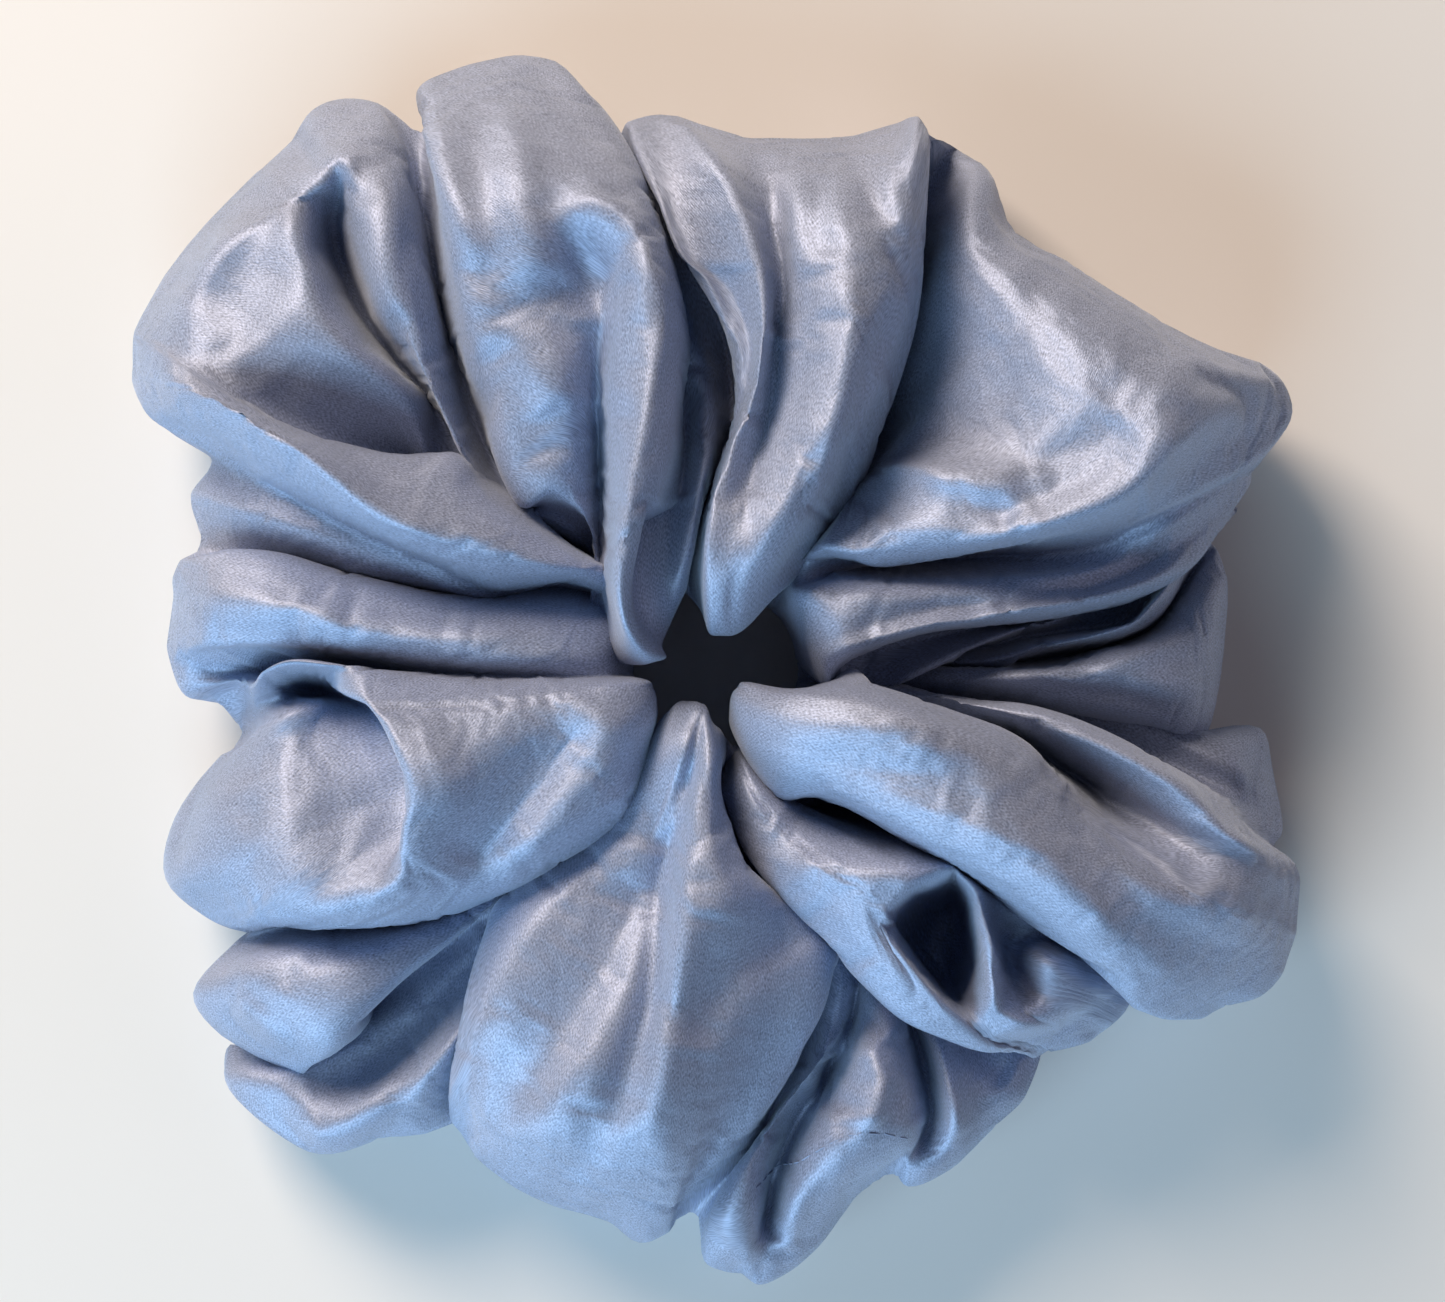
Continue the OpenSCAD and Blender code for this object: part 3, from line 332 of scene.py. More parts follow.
        [(600.6, 19, 26), (599, 21, 29), (595.4, 26, 30.5), (591, 31.5, 31), (587.2, 37, 31),
         (584.2, 41, 30.5), (581, 46.5, 30), (578.2, 51.5, 29), (575.6, 56, 27), (572.8, 61, 24),
         (570, 66, 19), (569.6, 69.5, 12)],
        [(586, 12, 18), (585, 18, 18), (584, 26, 17), (583.6, 32.5, 16), (583, 37.5, 16),
         (581.6, 42.5, 16), (580, 47, 16), (577.6, 52, 16), (574.6, 56.5, 16), (572, 62, 16),
         (570.6, 67, 15), (570, 72, 11)],
    ],
    "lower_left_tuck": [
        [(586.6, 12.5, 17), (585.8, 18, 17), (585, 26, 16.5), (584.8, 32, 16.5), (584.4, 37.5, 17),
         (583, 42.5, 17.5), (581.6, 46.5, 19), (579, 52, 21), (576.6, 57, 23), (574.4, 63, 25),
         (573, 69.5, 24), (572.4, 75.5, 19), (572, 80, 12)],
        [(587, 12.5, 16.5), (586.4, 18, 16.5), (585.8, 26, 16.5), (585.8, 32, 17), (585.6, 37, 18),
         (584.8, 41.5, 20), (583.8, 46.5, 22.5), (581.6, 51.5, 25), (579.8, 56.5, 27), (578.2, 62.5, 28),
         (577.2, 69, 26.5), (576.8, 75.5, 20), (576.6, 80, 12)],
        [(587.6, 12.5, 16), (587, 18, 16), (586.6, 26, 16), (586.8, 32, 16.5), (586.8, 36.5, 17.5),
         (586.8, 40.5, 19.5), (586, 45, 22), (585.4, 50, 24), (584.6, 55.5, 25.5), (584.6, 61.5, 26.5),
         (584.8, 67.5, 25), (584.6, 72, 20), (584.4, 75, 14)],
        [(588, 12.5, 15), (587.8, 18, 15), (587.6, 26, 14.5), (587.8, 32.5, 14), (588.4, 37.5, 13),
         (588.6, 43, 12.5), (588, 48.5, 11), (587, 55, 10), (585.6, 63, 9), (583, 69.5, 8),
         (580.6, 75, 7), (578.6, 79, 6.5), (577.6, 81.5, 6)],
    ],
    "lower_left_fan": [
        [(588.4, 12.5, 15), (588, 18, 15), (588, 26, 14.5), (588.2, 32.5, 14), (589, 37.5, 13.5),
         (589.4, 43, 13.5), (589.2, 48, 13.5), (588.6, 54.5, 13.5), (587.4, 62, 14), (585.4, 69.5, 14.5),
         (583, 75.5, 15), (581, 80.5, 14), (580.2, 84, 9)],
        [(588.6, 12.5, 15), (588.4, 18, 15), (588.4, 26, 14.5), (588.8, 32.5, 14), (589.6, 37.5, 13.5),
         (590.2, 44, 13.5), (590.4, 50.5, 13.5), (590, 57, 14), (589.4, 64.5, 14.5), (588, 71.5, 15.5),
         (586.8, 77, 17), (585.8, 81.5, 14), (585.4, 83.5, 12)],
        [(589, 12.5, 15), (589, 18, 15), (589, 26, 14.5), (589.8, 32.5, 14.5), (591, 38, 14.5),
         (592, 44.5, 15), (592.6, 51.5, 17), (592.6, 57.5, 18.5), (592.4, 65, 19.5), (591.8, 71.5, 20.5),
         (591.2, 77, 18.5), (590.8, 81.5, 12)],
        [(589.4, 12.5, 15), (589.4, 18, 15), (589.8, 26, 14.5), (590.6, 32.5, 14.5), (592, 39, 15.5),
         (593.4, 45, 18.5), (594.4, 50.5, 22.5), (595, 57, 24), (595.2, 63, 23.5), (595, 69.5, 19.5),
         (594.8, 75, 12)],
        [(589.8, 12.5, 14.5), (589.8, 18, 14.5), (590.4, 26, 14), (591.4, 32.5, 13.5), (592.8, 39, 13.5),
         (594.4, 45.5, 14.5), (595.6, 51.5, 16), (596.8, 58, 17), (597.8, 64.5, 17), (598, 69, 15),
         (598, 71.5, 11)],
        [(590, 12.5, 14), (590.2, 18, 14), (590.8, 26, 13), (592, 32.5, 12.5), (593.6, 39, 12),
         (595, 45.5, 12), (596.6, 52, 12), (598, 58.5, 12), (599.8, 64.5, 12), (600.8, 67.5, 11)],
    ],
    "broad_bottom": [
        [(585, 11, 24), (584, 17.5, 24), (583.6, 25.5, 24), (585, 32, 24.5), (587.2, 38, 25),
         (587.2, 41, 26), (589, 44, 27), (591.2, 48, 27.5), (593.2, 52, 28), (595.2, 56, 27.5),
         (597, 60.5, 26), (598.2, 64, 22), (600, 68, 14)],
        [(581.8, 6, 31), (586, 10, 31), (591, 15, 30), (593, 21, 29), (592.4, 27.5, 29),
         (591, 33.5, 29.5), (590.4, 40, 30), (592.4, 44.5, 31), (595, 49.5, 32), (597.4, 54.5, 32),
         (599.4, 60, 29), (601, 65, 22), (601.8, 69, 13)],
        [(591.8, 5, 33), (596, 10, 35), (599, 16, 33.5), (599.4, 22, 33), (598.4, 28.5, 34),
         (597.4, 34.5, 35), (597.4, 40.5, 36), (599, 46.5, 37), (600.8, 52.5, 37), (602.2, 59, 33.5),
         (603.6, 65.5, 25), (604, 70.5, 13)],
        [(601, 4.5, 34), (604, 9.5, 37), (606, 16, 35), (606, 22, 34.5), (605, 28, 36.5),
         (604.6, 34, 38), (605, 40, 39), (606, 46, 39.5), (607, 52, 39.5), (608, 58.5, 37),
         (608.8, 65, 29), (609, 72, 14)],
        [(608, 4.5, 34), (610, 9.5, 38), (611, 16, 36), (611, 22, 35), (611, 28, 36.5),
         (611.4, 34, 38.5), (611.8, 40, 39.5), (612, 46, 40), (612.6, 52, 40), (613, 58.5, 38),
         (613.4, 65.5, 30), (613.4, 72.5, 14)],
        [(614, 4.5, 34), (616, 9.5, 37.5), (616.6, 15, 36), (616.4, 22, 34.5), (616.8, 28, 35),
         (618, 34, 36.5), (618.8, 40, 37.5), (619, 46, 38), (619, 52.5, 38), (618.6, 58.5, 36.5),
         (618, 65.5, 30), (618, 72.5, 14)],
        [(620.2, 5, 34), (621.6, 9.5, 38), (622, 15.5, 39), (622.4, 22, 39.5), (622.6, 28, 40.5),
         (622.8, 34, 41), (623, 40, 41), (623.2, 46, 40.5), (623.4, 52, 39.5), (623.2, 58.5, 37),
         (623, 66, 29), (622.4, 75, 14)],
        [(627.2, 6.5, 33.5), (628.2, 11, 38), (628.6, 15.5, 38.5), (629.6, 22, 39.5), (630.6, 28, 40.5),
         (631, 34, 40), (631, 40, 38.5), (630, 46.5, 37), (628.6, 52.5, 35.5), (627, 59.5, 32.5),
         (625.8, 66.5, 26), (625, 73.5, 13)],
        [(635.2, 7.5, 31), (635.2, 11, 34), (633, 14.5, 34), (635, 19, 35), (638, 24, 36),
         (641, 28, 36.5), (642, 33, 35.5), (641, 38.5, 34), (638.6, 44, 32.5), (635, 49.5, 31),
         (631, 56.5, 29), (628, 63, 26), (626, 69, 19), (625.6, 72.5, 12)],
        [(639, 9, 28), (636, 12, 29), (628, 14, 31), (632, 16.5, 31), (636, 20, 31), (638.6, 24, 31),
         (643, 27, 31.5), (647.6, 31, 31), (650.6, 35.5, 30), (651.6, 38.5, 29), (648, 44, 28),
         (642, 49.5, 27), (637, 55, 26), (632.4, 60, 25), (628.4, 65, 22), (626.2, 69.5, 16),
         (626, 72, 11)],
        [(641, 9.5, 22), (640, 14, 22), (640, 19, 22), (643, 24, 21), (647, 29.5, 21), (650, 34.5, 20),
         (651, 40, 18), (648, 45.5, 17), (644, 51, 17), (639, 56.5, 17), (635, 62, 16), (631, 66.5, 15),
         (628, 71, 11)],
    ],
    "bottom_seamed": [
        [(642, 10, 20), (642, 14.5, 20), (643, 19, 20), (646, 24.5, 19), (649.4, 29.5, 19),
         (652, 35, 19), (651.4, 41, 19), (648, 46.5, 19.5), (644.4, 51, 20), (639.4, 56, 20),
         (634.4, 61, 21), (631, 65.5, 22), (629.2, 71, 20), (629, 77, 13)],
        [(642.8, 10.5, 19), (644, 15.5, 19), (645.4, 20, 19), (648, 25, 18.5), (651.4, 30, 18.5),
         (653.4, 36, 18.5), (652.6, 41.5, 19), (649, 47, 20), (645.4, 51, 21), (641, 54.5, 22),
         (636, 59.5, 24), (632.8, 65, 25.5), (631, 70.5, 24), (630.8, 78, 14)],
        [(643.8, 10.5, 18), (645, 16, 18), (647, 20.5, 18), (650, 25.5, 18), (653, 31, 18),
         (654.4, 36.5, 18), (653.6, 42.5, 18), (650, 48, 18.5), (646, 51, 19.5), (641.4, 54, 21),
         (637.2, 58, 22.5), (635.2, 63, 23.5), (634.2, 68.5, 23.5), (633.2, 74, 21), (632.6, 78.5, 13)],
        [(644.8, 11, 17), (645.8, 16.5, 17), (648.4, 21, 17), (651.4, 26.5, 17), (654.4, 31.5, 16.5),
         (656, 37.5, 16), (655, 43.5, 15), (651, 49, 14), (646, 54, 14), (641, 59, 14),
         (637.4, 64.5, 14.5), (635.8, 69.5, 16), (634.8, 74.5, 18), (634, 80.5, 12)],
        [(645.8, 11, 17), (647.4, 16.5, 17), (650, 21.5, 17), (653, 27, 17), (656, 32, 17),
         (657, 38, 17), (656, 43.5, 17.5), (653, 48.5, 18.5), (648.4, 53, 20), (644, 57.5, 22),
         (640.4, 62.5, 24), (638.4, 68, 24), (637, 74, 19), (636.4, 79.5, 12)],
        [(646.8, 11.5, 17), (648.8, 17, 17), (651.4, 22, 17), (654.4, 27.5, 17), (657, 32.5, 17),
         (658, 38.5, 17.5), (657.2, 44, 18.5), (655.4, 48.5, 20.5), (651.4, 51.5, 24), (647.6, 55, 27),
         (644.6, 60, 28), (642, 65.5, 26), (640.6, 70.5, 21), (640, 76.5, 12)],
        [(647.8, 11.5, 17), (650.4, 17.5, 17), (653, 22.5, 17), (656, 27.5, 17), (658, 33, 17.5),
         (659, 39, 18), (658.2, 45, 19), (657, 49, 21.5), (654, 52, 25.5), (651.6, 55.5, 28),
         (649, 60.5, 28.5), (646.6, 64.5, 26), (645, 68.5, 20), (644.4, 71.5, 12)],
        [(648.8, 12, 16), (651.4, 18, 16.5), (654, 23, 16.5), (657, 28, 16.5), (659, 34, 16.5),
         (660, 39.5, 17), (659.2, 45.5, 18), (658.2, 50.5, 20), (656.6, 54, 22), (655, 58, 23.5),
         (653.8, 62.5, 24), (652.4, 65.5, 21), (650.4, 67.5, 17), (649.4, 69.5, 12)],
        [(649.8, 12, 15), (652.8, 18.5, 15), (655.4, 23.5, 15), (658, 28.5, 15), (660, 34.5, 14),
         (661, 40.5, 13), (660.4, 47, 12), (659.4, 52, 11), (658.2, 57.5, 11), (656.6, 62.5, 12),
         (654.4, 66, 14), (652, 68.5, 17), (650.4, 72, 12)],
    ],
    "bottom_under": [
        [(650.8, 12.5, 15), (653.8, 18.5, 15), (656.8, 24, 15), (659.4, 29, 15), (661, 35, 14.5),
         (662.4, 41, 14.5), (662, 47, 16), (661, 52.5, 18), (660, 58, 20.5), (658.6, 63, 21.5),
         (657, 67, 19.5), (655, 72, 12)],
        [(651.8, 12.5, 15), (655.8, 19, 15), (658.4, 24.5, 15), (661, 29.5, 15), (662.4, 35.5, 14.5),
         (664, 41.5, 14.5), (664.4, 48, 15), (664, 53.5, 15.5), (663, 59, 16.5), (662, 63.5, 17),
         (661.2, 67, 15.5), (661, 70, 11)],
        [(652.8, 13, 14), (657.8, 19.5, 14), (660.4, 25, 14), (662.8, 30.5, 14), (664.4, 36.5, 13.5),
         (666, 42, 13), (667, 49, 12.5), (667, 54.5, 12.5), (666.4, 60, 13), (666, 63.5, 14.5),
         (665.6, 66.5, 14.5), (665.6, 69, 11)],
        [(653.8, 13.5, 14), (659.8, 20, 13.5), (662.8, 25.5, 13), (664.8, 31, 12.5), (666.8, 37, 12),
         (668.4, 43, 11.5), (669.4, 49.5, 11), (670, 55.5, 11), (670, 60, 11), (670, 64, 11.5),
         (670, 66, 11)],
    ],
    "arched": [
        [(633, 15, 28), (636, 18.5, 29), (639.6, 23, 30), (643, 26.5, 31), (647, 30, 32.5),
         (651, 35, 33), (655, 43, 32), (658, 49.5, 30.5), (661.6, 54, 29), (665, 58.5, 27),
         (668, 62, 22), (669.2, 65.5, 13)],
        [(638, 14.5, 31), (641.6, 18.5, 33), (646, 23, 34.5), (650, 27, 36), (653.6, 31.5, 37),
         (657, 37, 37.5), (659.6, 43, 36.5), (661.8, 48.5, 34.5), (663.4, 53, 32.5), (665.6, 57.5, 29.5),
         (668.4, 61.5, 23.5), (670, 65.5, 13)],
        [(642, 13, 31), (646.2, 17, 34.5), (651.2, 22, 36), (656.2, 26, 38), (660.2, 30.5, 39.5),
         (662.6, 34, 40), (663.2, 37.5, 38.5, 0.53), (663.4, 43, 36.5, 0.61), (664.2, 48, 34.3, 0.66),
         (664.8, 53, 32.2, 0.72), (665.4, 56, 30, 0.79), (666.8, 58.5, 27.5), (669, 62, 22),
         (671, 65.5, 13)],
        [(644, 12.5, 31), (648.2, 17, 34.3), (653.4, 21.5, 36), (658.4, 26, 38), (662.2, 30, 39.5),
         (664.4, 33.5, 40.4), (665, 37, 39.2, 0.52), (664.8, 39.5, 31, 0.56), (664.8, 44, 26, 0.61),
         (665, 49, 26, 0.66), (665.8, 53.5, 31.6, 0.72), (666.4, 56.5, 30.5, 0.79), (667.6, 59, 27.5),
         (669.4, 61.5, 23), (671.4, 66, 13)],
        [(646.2, 12, 31), (650.2, 16.5, 34), (655.6, 21.5, 36), (660.6, 25.5, 38), (664.2, 29.5, 39.5),
         (665.6, 33, 40.5), (666.2, 36, 39.5, 0.5), (666, 37.5, 34), (666, 40.5, 20, 0.56),
         (666, 45.5, 13, 0.61), (666.4, 50, 13), (666.4, 51.5, 18, 0.66), (666.6, 52.5, 28),
         (667, 54, 32, 0.72), (667.4, 57, 31, 0.79), (669.4, 61, 24), (672, 66.5, 13)],
        [(649, 12, 30), (654.2, 16, 32), (660.2, 20.5, 33), (665.6, 24.5, 35), (669.2, 28.5, 38),
         (670.6, 32, 40), (671.2, 35.5, 40, 0.5), (671.2, 36.5, 37), (671, 40, 20, 0.56),
         (671, 44.5, 12, 0.61), (671, 48, 14), (670.8, 49.5, 22, 0.66), (670.8, 50, 32),
         (670.6, 52, 36, 0.72), (670.2, 55, 34, 0.79), (671, 57.5, 33), (672.6, 60.5, 29),
         (674, 63.5, 22), (675, 68.5, 13)],
        [(650, 12.5, 29.3), (655.6, 16.5, 31.5), (661.8, 21, 31.5), (667.6, 25, 33), (671.4, 29, 36.3),
         (673.2, 32.5, 39.2), (674, 35.5, 40, 0.5), (674, 37, 37), (673.8, 40.5, 20, 0.56),
         (673.6, 44.5, 12.5, 0.61), (673.6, 46.5, 15), (673.4, 47, 23, 0.66), (673.4, 47.5, 32),
         (673, 49, 37.3, 0.72), (672.2, 51.5, 35), (672, 54, 31.5, 0.79), (672, 56, 31),
         (672.6, 58, 31.5, 0.86), (673.8, 60.5, 29.5), (675.4, 64, 22), (676.4, 68.5, 13)],
        [(651, 13.5, 28), (657, 17.5, 29), (663.6, 21, 29), (669.6, 25.5, 31), (673.6, 29.5, 34.5),
         (675.6, 32.5, 38), (676.6, 36, 39.5, 0.5), (676.8, 37.5, 37), (676.6, 40.5, 22, 0.56),
         (676.4, 43, 15, 0.61), (676.4, 44, 19), (676.4, 44, 27, 0.66), (676.2, 44.5, 35),
         (675.6, 46.5, 38, 0.72), (674.6, 48.5, 36.5), (673.8, 51, 32), (673.6, 53.5, 28.5, 0.79),
         (674, 56, 28), (675, 58, 31, 0.86), (676.6, 61, 29), (677.4, 65, 21), (678, 69, 13)],
        [(653, 16, 24), (660, 19.5, 24), (667, 23.5, 24), (673, 27.5, 27), (677.6, 32, 32),
         (679.6, 35.5, 35.5), (680.2, 37.5, 38, 0.5), (680, 39, 38, 0.61), (679.8, 41, 38, 0.66),
         (679, 43, 37, 0.72), (678.2, 45, 33), (677.6, 48, 28), (677.6, 51, 26, 0.79), (678.4, 53, 31),
         (678.8, 55, 34), (679, 57, 32, 0.86), (679.6, 61.5, 27), (680, 65.5, 20), (680, 69.5, 12)],
        [(654.8, 17.5, 18), (661.8, 21, 16), (668.8, 25.5, 14), (674.8, 30, 14), (679.4, 34.5, 14),
         (681.4, 38.5, 20, 0.5), (682, 43, 24), (682, 48, 25, 0.68), (682, 53, 26), (682.4, 58, 26),
         (683, 63.5, 22), (683, 69, 12)],
    ],
    "lower_right_long": [
        [(644.2, 7.5, 29), (647.2, 10.5, 31), (651.2, 14, 32), (657.2, 18, 33.5), (664.2, 19, 34.5),
         (669.6, 20.5, 35.5), (673.2, 23, 36.5), (675.6, 26, 37), (677.8, 31, 37), (679.8, 36, 36.5),
         (681, 41, 36), (681.2, 46.5, 35.5), (681.4, 53, 35), (682, 58.5, 34), (682.4, 62, 32.5),
         (681.6, 65.5, 29), (681.2, 69, 25), (682.2, 73, 20), (684, 77, 13)],
        [(648.2, 5.5, 32), (653.4, 8.5, 37), (660.4, 12, 40), (667.4, 15, 42), (673.4, 18, 43),
         (677.2, 22, 43.5), (679.8, 27, 44), (681.6, 32.5, 44), (683.2, 38.5, 43.5), (684.2, 44.5, 43),
         (684.8, 50.5, 42), (685.2, 57, 40), (685.4, 63.5, 36), (685.4, 70.5, 28.5), (686, 76, 20),
         (686.4, 79, 13)],
        [(657.6, 4, 33), (663.6, 7, 39), (671.4, 11, 42.5), (678.4, 14.5, 44.5), (682.8, 19, 46),
         (685.2, 25, 47), (686.8, 31, 47), (687.6, 37, 46.5), (688.2, 43, 45.5), (688.4, 49, 44.5),
         (688.6, 55.5, 42.5), (688.8, 62, 39), (688.8, 69, 33), (688.6, 77, 22), (689, 82.5, 13)],
        [(668.6, 3.5, 33), (675.8, 6.5, 40), (683.6, 10, 43.5), (689, 14.5, 45.5), (691.4, 19.5, 47),
         (692, 25.5, 48), (692.2, 31.5, 48), (692.2, 37.5, 47), (692.2, 43.5, 46), (692.2, 49.5, 44.5),
         (692.2, 56, 42.5), (692, 62.5, 39.5), (691.8, 69.5, 34), (691.4, 77, 24), (691.4, 83.5, 13)],
        [(680.8, 3.5, 33), (687.8, 6.5, 40), (694.6, 10, 43.5), (698.4, 15, 45.5), (699.4, 20, 47),
         (698.8, 26, 48), (697.8, 32, 48), (696.6, 38, 46.5), (695.8, 44.5, 44), (695.2, 50.5, 41.5),
         (694.6, 57, 39.5), (694, 63.5, 38), (693.8, 69.5, 35), (693.6, 76.5, 26), (693.4, 83, 13)],
        [(692.8, 3.5, 33), (698.6, 7.5, 40), (704.6, 11, 43), (707, 15.5, 45), (706.6, 21, 46),
         (705.2, 26.5, 46), (703.6, 32.5, 45), (701.6, 38, 43.5), (699.8, 43.5, 41), (698, 49, 37),
         (696.8, 54, 35), (695.8, 59, 35.5), (695, 63.5, 37), (695, 69.5, 35.5), (695.4, 76.5, 26),
         (695.4, 82.5, 13)],
        [(701.2, 9.5, 31), (706.4, 11, 35), (710.8, 13, 37), (714.2, 16, 37.5), (716.2, 18, 37),
         (714, 20.5, 37.5), (711.2, 26, 38), (709.4, 30, 38), (708.2, 35, 37.5), (706, 39.5, 36.5),
         (703.4, 43, 35), (701.4, 47, 32.5), (699.8, 50.5, 31), (698.4, 53.5, 33), (697.4, 57.5, 35),
         (697, 62.5, 36.5), (697, 68, 36), (697.4, 75, 27), (697.2, 81.5, 13)],
        [(705, 10.5, 26), (709, 12.5, 27), (713, 15.5, 27), (715, 19, 26), (714, 22.5, 25),
         (712, 28, 24), (710.4, 33, 23), (709, 38, 22), (706.4, 42.5, 21), (704, 46.5, 20),
         (702.4, 50, 20), (701.4, 53, 24), (700.6, 57.5, 29), (700, 63, 33), (699.8, 68.5, 33),
         (699.8, 75, 26), (699.8, 80.5, 13)],
    ],
    "right_shoulder": [
        [(706, 11, 22), (710, 14, 22), (713, 18, 22), (713.4, 23, 23), (712.4, 27, 26), (711, 32.5, 28),
         (709.6, 37.5, 29.5), (707.6, 42.5, 30), (705.8, 47.5, 30), (704.4, 52, 31.5),
         (703.4, 56.5, 33.5), (702.4, 62.5, 35), (701.6, 68.5, 33.5), (701, 74, 26), (701, 79.5, 13)],
        [(706.8, 11.5, 20), (710.8, 14.5, 20), (714, 18.5, 20), (714.4, 23, 21), (712.8, 28, 27),
         (712, 32.5, 31), (711.4, 37, 33), (710, 42.5, 34.5), (708.6, 48, 35.5), (707, 53.5, 36),
         (705.6, 59, 35.5), (704, 64, 33), (702.8, 69.5, 28), (702, 75.5, 19), (701.8, 78, 12)],
        [(707.8, 12, 18), (711.8, 15, 18), (714.8, 19, 18), (715, 23.5, 19), (713.2, 29, 23),
         (713.2, 34, 26.5), (713.4, 38.5, 28.5), (712.4, 43.5, 29.5), (710.8, 49, 30), (709, 54.5, 30),
         (707.2, 60.5, 28.5), (705.4, 66, 25.5), (703.2, 71.5, 20), (702.2, 76, 13)],
        [(708.8, 12, 15), (712.8, 15.5, 15), (715.8, 19.5, 15), (716.4, 24.5, 15), (714.8, 29.5, 15),
         (714.4, 36, 15), (714.4, 42.5, 15), (713.4, 47.5, 16), (712, 52.5, 17), (710.4, 57.5, 18),
         (708.4, 62.5, 19), (706.4, 68, 19), (704.8, 73, 16), (704, 77, 11)],
    ],
    "right_low": [
        [(709.6, 12, 14), (713.8, 16, 14), (716.6, 19.5, 14), (716.8, 25, 14), (715.6, 30, 14),
         (715, 36, 14), (715, 42.5, 14.5), (714.2, 47.5, 15.5), (713, 52.5, 17), (711.6, 57.5, 19),
         (710.2, 62.5, 21), (709.4, 67, 21), (709, 70.5, 17), (708.8, 74, 11)],
        [(710.2, 12, 13), (714.2, 16, 13), (716.8, 20, 13), (717, 25, 13), (715.8, 30, 13),
         (715.2, 36.5, 13.5), (715.2, 42.5, 14), (714.6, 48, 14.5), (713.8, 53, 16), (713, 57.5, 18),
         (712.4, 62.5, 19.5), (712.6, 66.5, 18), (713.2, 70, 14), (713.6, 71.5, 11)],
    ],
}

